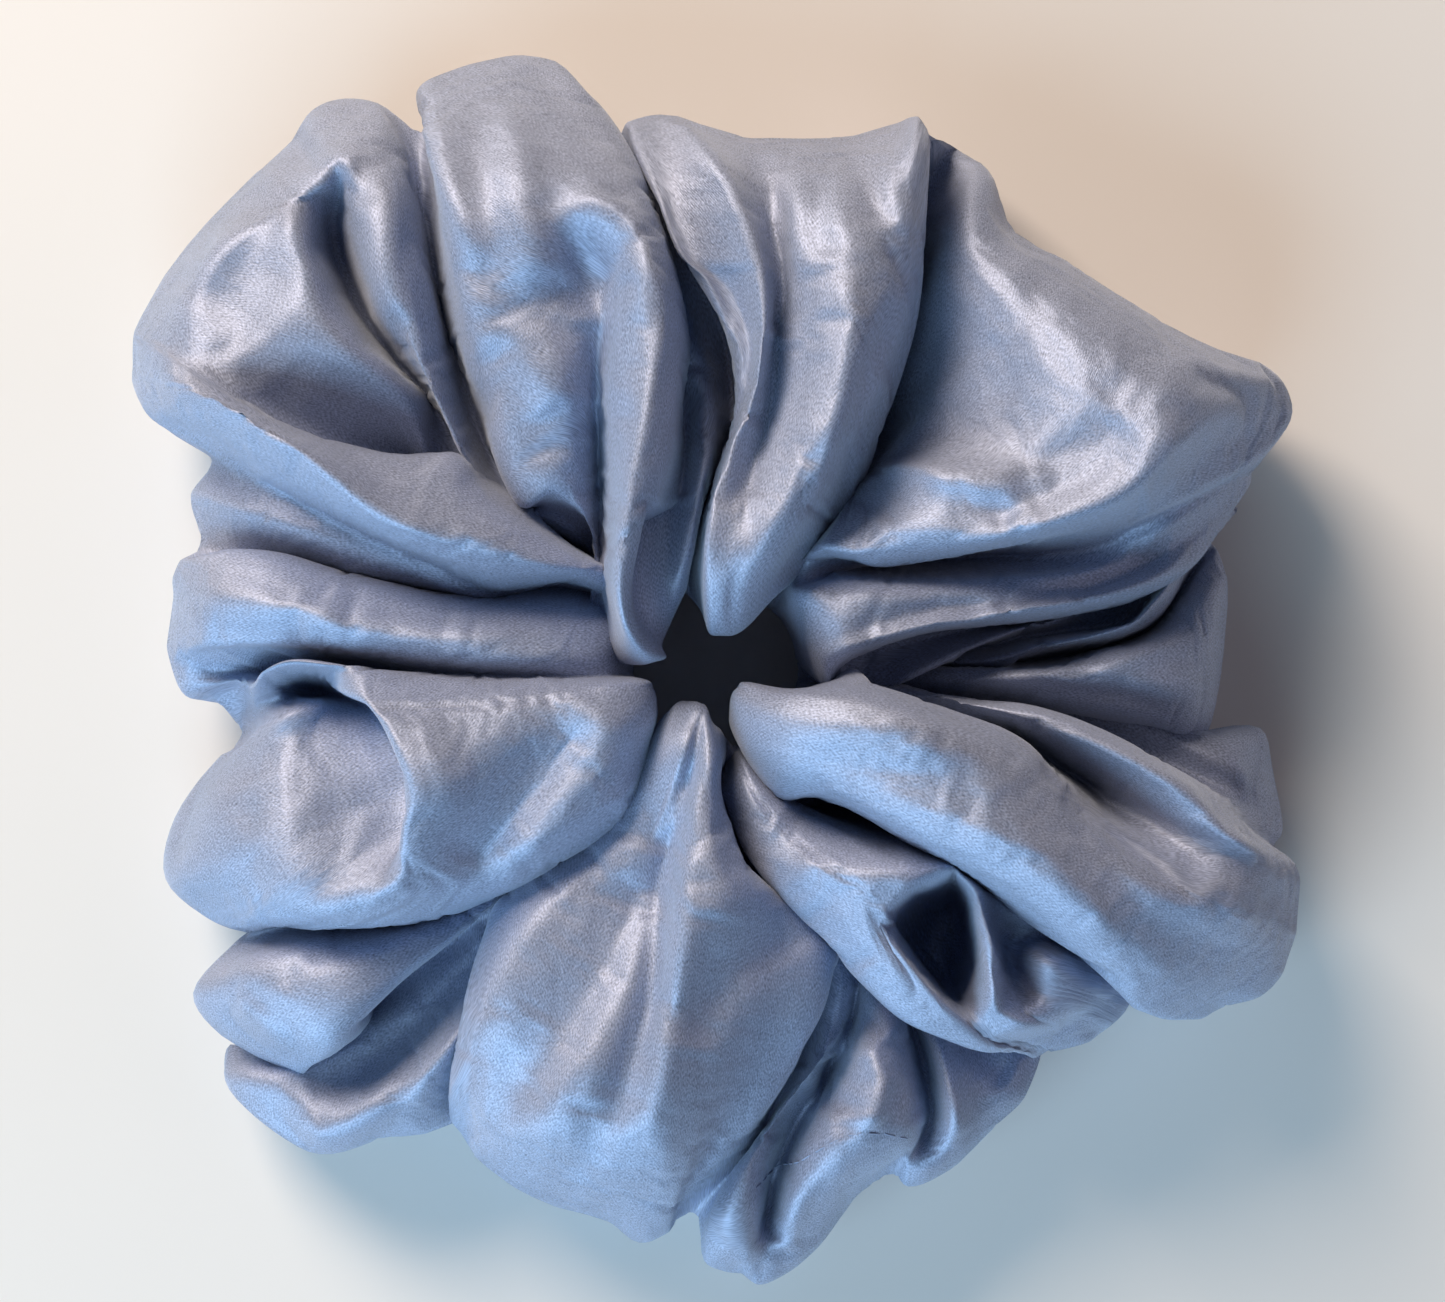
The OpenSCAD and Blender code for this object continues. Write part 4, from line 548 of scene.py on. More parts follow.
# Ridges and hollows in the folds' cloth: height in mm, width to the left and to the right in mm,
# and the (x, y) places in mm that the wrinkle runs through.
WRINKLES = {
    "right_tongue": [
        (1, 1.5, 1.5, ((29.5, -3), (34, -1), (40.5, -0.5), (48, 0.5), (54.5, 2.5), (61.5, 4.5))),
        (-1.4, 1.4, 1.8, ((31, -3.5), (40.5, -2.5), (50.5, -3), (58, -5))),
    ],
    "broad_right": [
        (1.1, 1.5, 2, ((14, 9.5), (20.5, 10), (28, 9.5), (35, 9), (42.5, 8.5))),
        (-1.4, 1.6, 1.6, ((15.5, 3.5), (20, 5.5), (27.5, 7), (35, 7))),
    ],
    "upper_right_flap": [
        (-0.6, 2.6, 3.4, ((35, 41.5), (35.5, 37.5), (36.5, 32))),
        (1.2, 2, 2.6, ((24, 23.5), (26, 23.5), (29.5, 23), (34.5, 22.5), (39, 23), (42, 24))),
        (-0.8, 1.8, 2, ((28, 21.5), (30.5, 20.5), (34.5, 19), (36.5, 17.5))),
        (-2, 2.4, 3, ((22, 25.5), (21, 22), (19, 18))),
        (-1.6, 3.4, 4.2, ((35.5, 20.5), (41.5, 24.5), (47, 27.5), (49.5, 31))),
        (1.2, 2.8, 3, ((34.5, 15.5), (40.5, 17.5), (46.5, 19.5), (51, 22.5), (54, 27.5), (54, 32))),
        (0.7, 1.5, 1.5, ((57.5, 38), (60.5, 37), (66, 36.5), (70.5, 36))),
        (-0.8, 1.4, 1.4, ((57.5, 36.5), (61, 35), (64.5, 34), (69, 33))),
    ],
    "top_right": [
        (-1.6, 1.4, 1.6, ((6.5, 62.5), (7.5, 52), (8, 39.5))),
        (-1.4, 1.4, 1.4, ((4, 26.5), (3, 20.5), (4, 16))),
        (-1.3, 2, 2.2, ((18.5, 64.5), (19, 59.5), (20.5, 53.5))),
        (0.8, 2.2, 2.2, ((20.5, 66), (21.5, 58), (23.5, 52.5))),
        (-0.8, 0.9, 0.9, ((21, 51.5), (23, 47.5))),
        (1.3, 2.2, 2.6, ((15, 49), (16.5, 42), (14.5, 32.5), (12, 24.5))),
        (0.8, 1.5, 1.5, ((23.5, 46.5), (22.5, 41.5), (20, 34.5), (16.5, 28), (13, 20.5))),
        (-1.4, 0.9, 1.2, ((25.5, 48), (24, 42), (21.5, 34.5), (17, 26.5), (14, 19))),
        (-1.2, 1.8, 1.8, ((13, 61.5), (12.5, 54), (14, 49))),
    ],
    "top_sliver": [
        (1.4, 1.5, 1.8, ((-11, 68), (-7, 69.5), (-3.5, 67.5), (-1, 64), (1.5, 60), (3.5, 55),
         (5.5, 48.5), (6, 41), (5.5, 35), (4, 30))),
    ],
    "top_shaded": [
        (-2.2, 1.8, 1.8, ((-2.5, 37.5), (-3.5, 32.5), (-4.5, 26.5), (-6, 18.5), (-6.5, 11), (-6, 5.5))),
        (1.4, 1.5, 1.6, ((0.5, 31), (-0.5, 26.5), (-2, 21), (-3, 14.5), (-4, 8))),
        (-2.2, 1.6, 2, ((-7.5, 66.5), (-4.5, 62), (-2, 56.5), (0, 51.5), (2, 46.5), (3, 41))),
    ],
    "top_left_tall": [
        (-1.6, 3, 3, ((-31.5, 68), (-28.5, 58), (-27.5, 50.5), (-28, 43.5))),
        (1.6, 3, 3, ((-26.5, 71.5), (-24, 63.5), (-22.5, 54.5), (-21, 48.5), (-20, 44.5))),
        (-1.8, 3.4, 3.4, ((-18, 48.5), (-15, 49.5), (-11.5, 48))),
        (0.8, 1.8, 2.4, ((-20, 53.5), (-15, 56.5), (-10.5, 55.5), (-8, 52))),
        (0.8, 1.6, 1.6, ((-20, 45), (-17.5, 43), (-14, 43))),
        (1.6, 2.2, 2.2, ((-8.5, 51.5), (-9.5, 46.5), (-11, 41.5), (-12, 36.5), (-12.5, 29.5))),
        (-2.4, 0.9, 3.4, ((-14, 34), (-14, 29), (-13.5, 23), (-13.5, 17), (-12.5, 12))),
        (-1.6, 2.4, 3, ((-28, 41), (-24.5, 34.5), (-22, 29), (-19, 24))),
        (-1.2, 2.8, 2.6, ((-21, 33), (-17, 26.5), (-14, 20))),
    ],
    "upper_left_strip": [
        (-2.4, 3, 1.8, ((-44.5, 62), (-48, 59.5), (-50, 56), (-47.5, 50), (-47, 46.5), (-43, 42),
         (-37, 37))),
        (0.9, 2, 2, ((-43.5, 59), (-42, 53.5), (-40.5, 46.5), (-38.5, 41.5))),
    ],
    "upper_left_roll": [
        (1, 3, 3, ((-59, 59.5), (-53.5, 63.5), (-48, 64.5), (-43, 64.5), (-39.5, 63), (-37, 59.5))),
        (-1.4, 4.8, 5.5, ((-63, 42.5), (-59.5, 47), (-55.5, 51.5), (-52, 55.5))),
        (-2, 2.8, 2.8, ((-57.5, 33.5), (-51.5, 29.5), (-46, 27.5), (-36, 27.5))),
    ],
    "broad_left": [
        (1, 1.5, 2.6, ((-56, 28.5), (-50, 26), (-44, 21), (-38, 17.5), (-31.5, 15))),
        (0.9, 1.6, 2.2, ((-69, 40), (-63, 36), (-58.5, 32.5), (-53.5, 29.5), (-49, 26.5), (-44, 23),
         (-37, 17))),
    ],
    "left_band": [
        (1.2, 1.8, 2.2, ((-66, 10), (-57.5, 8.5), (-51, 7), (-43.5, 5.5))),
        (-1.2, 1.8, 1.8, ((-64.5, 4.5), (-56.5, 4), (-49, 3.5))),
        (-1.1, 1.8, 2.2, ((-47.5, 9.5), (-39, 7), (-30, 6))),
    ],
    "left_ear": [
        (-3.4, 3, 5.4, ((-15, -4), (-19.5, -10.5), (-25, -17.5), (-28.5, -22), (-32, -26.5))),
        (0.8, 3.6, 3.2, ((-12, -9), (-18, -16), (-24.5, -23.5))),
    ],
    "lower_left_tuck": [
        (1.2, 1.6, 2, ((-61.5, -42), (-57, -44.5), (-54.5, -49))),
    ],
    "lower_left_fan": [
        (-2.4, 3, 2.6, ((-54.5, -46.5), (-45.5, -40.5), (-38.5, -36), (-31, -33))),
        (1.2, 2, 2.2, ((-31, -42), (-34.5, -47), (-37.5, -50.5), (-44, -55), (-50.5, -59), (-57, -57.5))),
    ],
    "broad_bottom": [
        (-1, 1.1, 1.3, ((-3, -4.5), (-2, -8.5), (-2.5, -12.5), (-5, -16))),
        (0.6, 1.5, 1.5, ((0, -6), (0.5, -9.5), (-0.5, -14))),
        (-1.4, 1.3, 2, ((-5.5, -16), (-6, -22.5), (-6.5, -32), (-7.5, -40.5), (-10.5, -50), (-14, -59))),
        (1.2, 2.6, 3, ((-3, -18.5), (-3.5, -25.5), (-4, -34), (-5, -42.5), (-8, -52.5), (-12.5, -61))),
        (-4.4, 3, 6.4, ((-8, -22), (-10.5, -29.5), (-14, -37), (-19, -45), (-24.5, -52), (-28.5, -57))),
        (1.8, 2.8, 2.6, ((-15.5, -22.5), (-21, -28), (-25.5, -34.5), (-28.5, -41), (-30.5, -48.5))),
        (-2, 2.8, 4.4, ((12.5, -32), (7, -34), (2, -37), (-2, -42), (-3, -47))),
        (1, 3.2, 3.2, ((-1.5, -20.5), (1.5, -25.5), (0, -31))),
        (-0.9, 2, 2.6, ((-15, -51.5), (-15.5, -57.5), (-17, -64.5))),
    ],
    "bottom_seamed": [
        (1.6, 1.5, 1.5, ((17.5, -41), (20, -42.5), (21.5, -45.5), (18.5, -47.5), (15.5, -48.5),
         (12.5, -52.5), (12, -56.5), (11.5, -59.5))),
        (-2.6, 2.4, 1.8, ((16, -50), (15, -53), (15.5, -56.5))),
        (1.9, 1.5, 1.5, ((17, -48), (19.5, -48), (21, -51.5), (20, -55), (18, -58))),
        (-1.8, 1.2, 1.4, ((24, -46), (25.5, -50.5), (26.5, -54.5), (26, -58.5))),
        (-1.6, 1.6, 1.6, ((7, -64.5), (7, -70.5), (8, -74.5))),
        (0.9, 0.9, 0.9, ((12.5, -55), (13.5, -50.5), (16, -49), (19, -49))),
    ],
    "bottom_under": [
        (1, 1.5, 1.6, ((27.5, -52.5), (30, -56), (31.5, -60.5))),
        (-1.6, 2.2, 1.8, ((29.5, -48), (34, -50), (38.5, -53.5))),
    ],
    "arched": [
        (-2.4, 2, 2.8, ((8, -17), (13, -19.5), (17.5, -20), (24, -21))),
        (1.4, 1.8, 2.6, ((8, -24), (14, -24), (20, -24.5), (26, -24.5))),
        (1, 2.2, 2.2, ((31, -27), (33, -29.5), (34, -32.5), (33.5, -37), (34, -40), (37, -43),
         (42.5, -45))),
        (-1.6, 2, 2.2, ((37, -31.5), (38, -35.5), (37, -39))),
        (-1.2, 2.6, 2.6, ((10.5, -29), (14.5, -33), (19, -37.5))),
    ],
    "lower_right_long": [
        (-2.4, 2.8, 3.2, ((42.5, -13), (46.5, -15), (52, -18), (57.5, -22), (62.5, -26))),
        (1.5, 2.2, 2.6, ((45, -16.5), (50, -20.5), (53, -23.5), (58, -27), (62.5, -29.5))),
        (-1.2, 2.4, 3.2, ((46.5, -24), (52.5, -30), (59.5, -34), (65.5, -36))),
        (-1.6, 2.8, 3.4, ((8.5, -11), (14, -12), (19.5, -12.5), (28, -13), (34, -14.5))),
        (1, 2.6, 2.4, ((10, -6.5), (16, -6.5), (22, -7), (28, -8.5))),
        (-1.1, 3, 3, ((35.5, -12), (40, -17), (45, -23), (49, -28))),
        (1.1, 2.8, 3.2, ((29, -17.5), (36.5, -21.5), (44, -27.5), (49.5, -33.5))),
    ],
    "right_shoulder": [
        (1.6, 1.8, 2.4, ((29.5, -4.5), (40, -5.5), (46, -8), (51, -10.5), (57, -15), (62, -19),
         (66, -23.5), (68.5, -29))),
    ],
}

# Where a line names no shares of its own: (distance in mm, share of the way from the opening to
# the outer end that its point there gets), so that the points of neighbouring lines line up
ALIGNED = ((19, 0.13), (31, 0.30), (44, 0.47), (57, 0.64))

# The stretch of the closing seam that shows on top, as (angle in degrees, distance in mm)
CLOSING_SEAM = ((274.5, 66), (278, 64.5), (281, 62.5), (284, 61), (287, 60.5), (290, 62), (293, 65))


def srgb(red, green, blue):
    """Linear colour of an sRGB colour given in 0 to 255."""
    def linear(c):
        c /= 255
        return c / 12.92 if c <= 0.04045 else ((c + 0.055) / 1.055) ** 2.4
    return (linear(red), linear(green), linear(blue))


class CoverSettings(bpy.types.PropertyGroup):
    """The satin cover's cut, its gathers and its finish"""
    strip_width: FloatProperty(
        name="Strip width", description="Width of the strip of satin, which goes round the tube",
        default=0.150, unit="LENGTH", subtype="DISTANCE")
    strip_length: FloatProperty(
        name="Strip length", description="Length of the strip of satin before it is gathered",
        default=0.580, unit="LENGTH", subtype="DISTANCE")
    allowance: FloatProperty(
        name="Seam allowance", description="Width of cloth turned in at the long seam",
        default=0.005, unit="LENGTH", subtype="DISTANCE")
    seam_reach: FloatProperty(
        name="Seam distance", description="Distance from the opening's axis to the long seam",
        default=0.0336, unit="LENGTH", subtype="DISTANCE")
    opening_radius: FloatProperty(
        name="Opening radius", description="Radius of the gathered wall of the hair opening",
        default=0.0109, unit="LENGTH", subtype="DISTANCE")
    crease_lift: FloatProperty(
        name="Crease lift", description="How far creases underneath lift off the table",
        default=0.004, unit="LENGTH", subtype="DISTANCE")
    columns: IntProperty(
        name="Columns", description="Columns of cloth from one fold line to the next",
        default=5, min=1, max=5)
    softness: IntProperty(
        name="Softness", description="How often the gathered cloth is smoothed", default=1, min=0)
    ease: FloatProperty(
        name="Ease", description="Share that the cloth is cut longer than its folds need",
        default=0.015, subtype="FACTOR")
    sag_frames: IntProperty(
        name="Sag frames", description="Steps for which the cloth settles under its weight",
        default=12)
    colour: FloatVectorProperty(
        name="Colour", description="Colour of the satin", subtype="COLOR",
        default=srgb(146, 156, 181), min=0, max=1)
    twill_pitch: FloatProperty(
        name="Twill pitch", description="Distance between two diagonal lines of the weave",
        default=0.0004, unit="LENGTH", subtype="DISTANCE", precision=5)


class ThreadSettings(bpy.types.PropertyGroup):
    """The sewing thread and its stitches"""
    thickness: FloatProperty(
        name="Thickness", description="Thickness of the sewing thread",
        default=0.0003, unit="LENGTH", subtype="DISTANCE", precision=5)
    stitch: FloatProperty(
        name="Stitch", description="Length of one stitch",
        default=0.0020, unit="LENGTH", subtype="DISTANCE", precision=5)
    pitch: FloatProperty(
        name="Pitch", description="Distance from one stitch to the next",
        default=0.0028, unit="LENGTH", subtype="DISTANCE", precision=5)
    colour: FloatVectorProperty(
        name="Colour", description="Colour of the thread in the cover", subtype="COLOR",
        default=srgb(134, 146, 174), min=0, max=1)
    elastic_thread_colour: FloatVectorProperty(
        name="Elastic's thread colour", description="Colour of the thread in the elastic",
        subtype="COLOR", default=srgb(236, 236, 232), min=0, max=1)
    elastic_colour: FloatVectorProperty(
        name="Elastic colour", description="Colour of the braided elastic", subtype="COLOR",
        default=srgb(225, 225, 220), min=0, max=1)


class StageSettings(bpy.types.PropertyGroup):
    """The table, the lamps and the camera"""
    camera_height: FloatProperty(
        name="Camera height", description="Height of the camera above the table",
        default=0.420, unit="LENGTH", subtype="DISTANCE")
    view_width: FloatProperty(
        name="View width", description="Width that the camera takes in, level with the folds",
        default=0.18206, unit="LENGTH", subtype="DISTANCE")
    fold_level: FloatProperty(
        name="Fold level", description="Usual height of the folds, at which the view is measured",
        default=0.025, unit="LENGTH", subtype="DISTANCE")
    table_colour: FloatVectorProperty(
        name="Table colour", description="Colour of the table", subtype="COLOR",
        default=srgb(222, 218, 214), min=0, max=1)
    window_power: FloatProperty(
        name="Window", description="Power of the warm lamp behind the scrunchie, on the left",
        default=16, unit="POWER")
    sky_power: FloatProperty(
        name="Sky", description="Power of the cool lamp in front, on the left",
        default=17.5, unit="POWER")
    side_power: FloatProperty(
        name="Side", description="Power of the pale lamp on the right",
        default=1.2, unit="POWER")


# Cloth -------------------------------------------------------------------------------------

# Rows of cloth over the top, from its outer end under to the long seam, and on to the top again
TOP_ROWS, OUTER_ROWS, INNER_ROWS = 102, 16, 16
# Rows of cloth in each of the two edges that are turned in at the long seam
ALLOWANCE_ROWS = 3
# Place of the long seam among the stops of the under side
SEAM_STOP = 3
# Points of a fold line's curve from one stop to the next
CURVE_PARTS = 12

# Sizes of the gathers, in mm: the lowest point of the cloth, half the gap between the long
# seam's two edges, and the height at which the wall of the opening begins
LOWEST, HALF_GAP, WALL_FOOT = 0.4, 0.15, 6.5
# Lines with their crest below this height are creases, in full where it is lower by the range
CREASE_BELOW, CREASE_RANGE = 24, 8
# Where a fold's side, its foot on the table and the bend below the opening lie: the first two as
# shares of its outer end's distance, the third as a share of the long seam's
SIDE_REACH, FOOT_REACH, BEND_REACH = 0.975, 0.9, 0.72
# Height of the side as a share of the outer end's height, and the least it is
SIDE_SHARE, SIDE_LEAST = 0.45, 3
# Heights of the foot, of the cloth along the table, and of the bend below the opening
FOOT_HEIGHT, UNDER_HEIGHT, BEND_HEIGHT = 1, 0.6, 0.9
# How far a crease's foot is drawn in, and where the cloth turns up towards the wall
CREASE_INSET, TURN_OUT, TURN_HEIGHT = 1.5, 3.6, 3
# Margins at both ends of a line in which no point is given an aligned share
INNER_MARGIN, OUTER_MARGIN = 2, 4
# Room round the elastic: inwards from its outer edge, outwards, above, and the slope beyond
ROOM_INWARDS, ROOM_OUTWARDS, ROOM_ABOVE, ROOM_SLOPE = 4.2, 1, 1.2, 5
# A crease slips under a fold that is this much higher, up to the depth, over the range
TUCK_FROM, TUCK_RANGE, TUCK_DEPTH = 2, 10, 2.6

# Share of a wrinkle's run over which each end fades, and the share of its height left there
FADE_RUN, FADE_LEFT = 0.2, 0.25
# Neighbours on each side over which the lines' spacing is averaged, at the neck and at the foot
NECK_SPREAD, FOOT_SPREAD = 7, 4


def curves_through(stops, parts):
    """Points of closed Catmull-Rom curves through the stops, an array of (stop, curve, xyz)."""
    before, after = np.roll(stops, 1, 0), np.roll(stops, -1, 0)
    beyond = np.roll(stops, -2, 0)

    def knot(a, b):
        return np.sqrt(np.maximum(np.linalg.norm(b - a, axis=-1, keepdims=True), 1e-9))

    first = knot(before, stops)
    second = first + knot(stops, after)
    third = second + knot(after, beyond)
    found = []
    for part in range(parts):
        t = first + (second - first) * part / parts
        a1 = ((first - t) * before + t * stops) / first
        a2 = ((second - t) * stops + (t - first) * after) / (second - first)
        a3 = ((third - t) * after + (t - second) * beyond) / (third - second)
        b1 = ((second - t) * a1 + t * a2) / second
        b2 = ((third - t) * a2 + (t - first) * a3) / (third - first)
        found.append(((second - t) * b1 + (t - first) * b2) / (second - first))
    return np.stack(found, 1).reshape(-1, *stops.shape[1:])


def eased(share):
    """A share from 0 to 1, with a soft start and end."""
    return share * share * (3 - 2 * share)


def spot(angle, reach, height):
    """Point in mm at an angle in degrees, a distance from the axis and a height."""
    return (reach * math.cos(math.radians(angle)), reach * math.sin(math.radians(angle)), height)


def evened(angles, width):
    """Angles of the lines with their spacing averaged over some neighbours on each side."""
    even = np.arange(len(angles)) * 360 / len(angles)
    weights = np.hanning(2 * width + 3)[1:-1]
    offsets = np.array(angles) - even
    wrapped = np.concatenate([offsets[-width:], offsets, offsets[:width]])
    return even + np.convolve(wrapped, weights / weights.sum(), mode="valid")


def underside(line, neck_angle, foot_angle, cover):
    """Stops from a line's outer end back under the fold and up the opening's wall."""
    rim_angle, rim, rim_height = line[-1][:3]
    lip_angle, lip_height = line[0][0], line[0][2]
    crest = max(stop[2] for stop in line)
    crease = min(1, max(0, (CREASE_BELOW - crest) / CREASE_RANGE))
    lift = cover.crease_lift / MM * crease
    wall = cover.opening_radius / MM
    seam = cover.seam_reach / MM
    foot = rim * FOOT_REACH
    return [
        spot((foot_angle + rim_angle) / 2, rim * SIDE_REACH, max(SIDE_LEAST, rim_height * SIDE_SHARE)),
        spot(foot_angle, foot - CREASE_INSET * crease, FOOT_HEIGHT + lift),
        spot(foot_angle, (foot + seam) / 2, UNDER_HEIGHT + lift),
        spot((foot_angle + neck_angle) / 2, seam, UNDER_HEIGHT + lift),
        spot(neck_angle * 0.7 + foot_angle * 0.3, seam * BEND_REACH, BEND_HEIGHT + lift),
        spot(neck_angle, wall + TURN_OUT, TURN_HEIGHT + lift * 0.6),
        spot(neck_angle, wall + 0.3, WALL_FOOT),
        spot(neck_angle * 0.7 + lip_angle * 0.3, wall, WALL_FOOT + 0.45 * (lip_height - WALL_FOOT)),
    ]


def section(line, neck_angle, foot_angle, cover):
    """Points round the tube along one fold line, from the long seam round to it again."""
    stops = [spot(*stop[:3]) for stop in line] + underside(line, neck_angle, foot_angle, cover)
    loop = curves_through(np.array(stops)[:, None], CURVE_PARTS)[:, 0]
    loop = np.vstack([loop, loop[0]])
    runs = np.concatenate([[0], np.cumsum(np.linalg.norm(np.diff(loop, axis=0), axis=1))])
    rim = (len(line) - 1) * CURVE_PARTS
    seam = rim + (SEAM_STOP + 1) * CURVE_PARTS

    marks = [(runs[i * CURVE_PARTS], stop[3]) for i, stop in enumerate(line) if len(stop) == 4]
    if not marks:
        reach = np.hypot(loop[:rim, 0], loop[:rim, 1])
        for mark, share in ALIGNED:
            if reach[0] + INNER_MARGIN < mark < reach[-1] - OUTER_MARGIN:
                marks.append((runs[int(np.argmax(reach > mark))], share))
    marks = [(0, 0), *marks, (runs[rim], 1)]
    shares = np.linspace(0, 1, TOP_ROWS, endpoint=False)
    top = np.interp(shares, [m[1] for m in marks], [m[0] for m in marks])
    outer = np.linspace(runs[rim], runs[seam], OUTER_ROWS)
    inner = np.linspace(runs[seam], runs[-1], INNER_ROWS, endpoint=False)
    order = np.concatenate([inner, top, outer])
    return np.stack([np.interp(order, runs, loop[:, axis]) for axis in range(3)], 1)


def keep_off_elastic(net):
    """Lifts the cloth where it would dip into the elastic, which runs inside the tube."""
    edge, _, crown = (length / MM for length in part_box("elastic_band")[1])
    reach = np.hypot(net[..., 0], net[..., 1])
    inner, outer = edge - ROOM_INWARDS, edge + ROOM_OUTWARDS
    fall = np.clip((outer + ROOM_SLOPE - reach) / ROOM_SLOPE, 0, 1)
    near = (reach > inner) & (reach < outer + ROOM_SLOPE)
    floor = np.where(near, (crown + ROOM_ABOVE) * eased(fall), 0)
    top = net[:, INNER_ROWS:INNER_ROWS + TOP_ROWS]
    top[..., 2] = np.maximum(top[..., 2], floor[:, INNER_ROWS:INNER_ROWS + TOP_ROWS])


def smoothed(net, passes):
    """The net of points with each one drawn towards its neighbours."""
    for _ in range(passes):
        along = (np.roll(net, 1, 0) + np.roll(net, -1, 0)) / 2
        across = net.copy()
        across[:, 1:-1] = (net[:, 2:] + net[:, :-2]) / 2
        net = net * 0.5 + (along + across) * 0.25
    return net


def tuck_creases(sections):
    """Draws each crease under the higher of the two folds beside it."""
    crease = -1
    for fold in FOLDS.values():
        crease += len(fold)
        top = slice(INNER_ROWS, INNER_ROWS + TOP_ROWS)
        here, left = sections[crease, top], sections[(crease + 1) % len(sections), top]
        right = sections[crease - 1, top]
        for beside, other in ((left, right), (right, left)):
            higher = beside[:, 2] - np.maximum(here[:, 2], other[:, 2])
            over = np.clip(higher - TUCK_FROM, 0, TUCK_RANGE) / TUCK_RANGE
            away = (beside - here)[:, :2]
            away /= np.maximum(np.linalg.norm(away, axis=1, keepdims=True), 1e-6)
            here[:, :2] += away * (TUCK_DEPTH * over)[:, None]


def wrinkle_heights(places, height, left, right, route):
    """How much a wrinkle raises each of the places, an array with x and y last."""
    route = np.array(route, float)
    steps = np.diff(route, axis=0)
    lengths = np.linalg.norm(steps, axis=1)
    starts = np.concatenate([[0], np.cumsum(lengths)])
    nearest = np.full(places.shape[:-1], np.inf)
    runs, sides = np.zeros_like(nearest), np.zeros_like(nearest)
    for start, step, length, before in zip(route, steps, lengths, starts):
        offset = places - start
        share = np.clip(offset @ step / length ** 2, 0, 1)
        gap = np.linalg.norm(offset - share[..., None] * step, axis=-1)
        closer = gap < nearest
        nearest[closer] = gap[closer]
        runs[closer] = (before + share * length)[closer]
        sides[closer] = (step[0] * offset[..., 1] - step[1] * offset[..., 0])[closer]
    width = np.where(sides > 0, left, right)
    fade = np.clip(np.minimum(runs, starts[-1] - runs) / (FADE_RUN * starts[-1]), 0, 1)
    fade = FADE_LEFT + (1 - FADE_LEFT) * eased(fade)
    return height * fade * np.exp(-(nearest / width) ** 2)


def wrinkled(net, cover):
    """The net with the wrinkles pressed into the folds, up to the creases between them."""
    top = slice(INNER_ROWS, INNER_ROWS + TOP_ROWS)
    start = -1
    for name, fold in FOLDS.items():
        first, last = start * cover.columns, (start + len(fold)) * cover.columns
        columns = np.arange(first, last + 1)
        inward = np.minimum(columns - first, last - columns) / cover.columns
        share = np.minimum(1, inward)[:, None]
        columns %= len(net)
        places = net[columns, top]
        rise = sum(wrinkle_heights(places[..., :2], *wrinkle) for wrinkle in WRINKLES.get(name, ()))
        places[..., 2] += rise * share
        net[columns, top] = places
        start += len(fold)


def gathered_net(cover):
    """Places of the cloth's points in mm, as an array of (column, row, xyz)."""
    lines = [line for fold in FOLDS.values() for line in fold]
    neck = evened([line[0][0] for line in lines], NECK_SPREAD)
    foot = evened([line[-1][0] for line in lines], FOOT_SPREAD)
    sections = np.array([section(*parts, cover) for parts in zip(lines, neck, foot)])
    tuck_creases(sections)
    net = smoothed(curves_through(sections, cover.columns), cover.softness)
    wrinkled(net, cover)
    keep_off_elastic(net)
    net[..., 2] = np.maximum(net[..., 2], LOWEST)
    allowance = []
    for end, side in ((0, -1), (-1, 1)):
        base = net[:, end].copy()
        reach = np.hypot(base[:, 0], base[:, 1])
        base[:, :2] *= ((reach + side * HALF_GAP) / reach)[:, None]
        rises = [base + (0, 0, cover.allowance / MM * i / ALLOWANCE_ROWS)
                 for i in range(1, ALLOWANCE_ROWS + 1)]
        net[:, end] = base
        allowance.append(np.stack(rises, 1))
    return np.concatenate([allowance[0][:, ::-1], net, allowance[1]], axis=1)


def weave_places(net, cover):
    """Place of each point in the uncut cloth, in metres, for each fold: {fold: (first, last, uv)}.

    The cloth is measured along and across from each fold's middle line, because the cloth
    between two folds is hidden in the crease."""
    run = np.concatenate([np.zeros_like(net[:, :1, 0]),
                          np.cumsum(np.linalg.norm(np.diff(net, axis=1), axis=2), axis=1)], axis=1)
    step = np.linalg.norm(np.roll(net, -1, 0) - net, axis=2)
    places, start = {}, -1
    for name, fold in FOLDS.items():
        first, last = start * cover.columns, (start + len(fold)) * cover.columns
        columns = np.arange(first, last + 1)
        heights = [np.mean([stop[2] for stop in line]) for line in fold]
        middle = int(np.argmax(heights) + 1) * cover.columns
        across = np.concatenate([np.zeros_like(step[:1]), np.cumsum(step[columns[:-1]], axis=0)])
        across -= across[middle]
        places[name] = (first, last, np.stack([across, run[columns]], 2) * MM)
        start += len(fold)
    return places


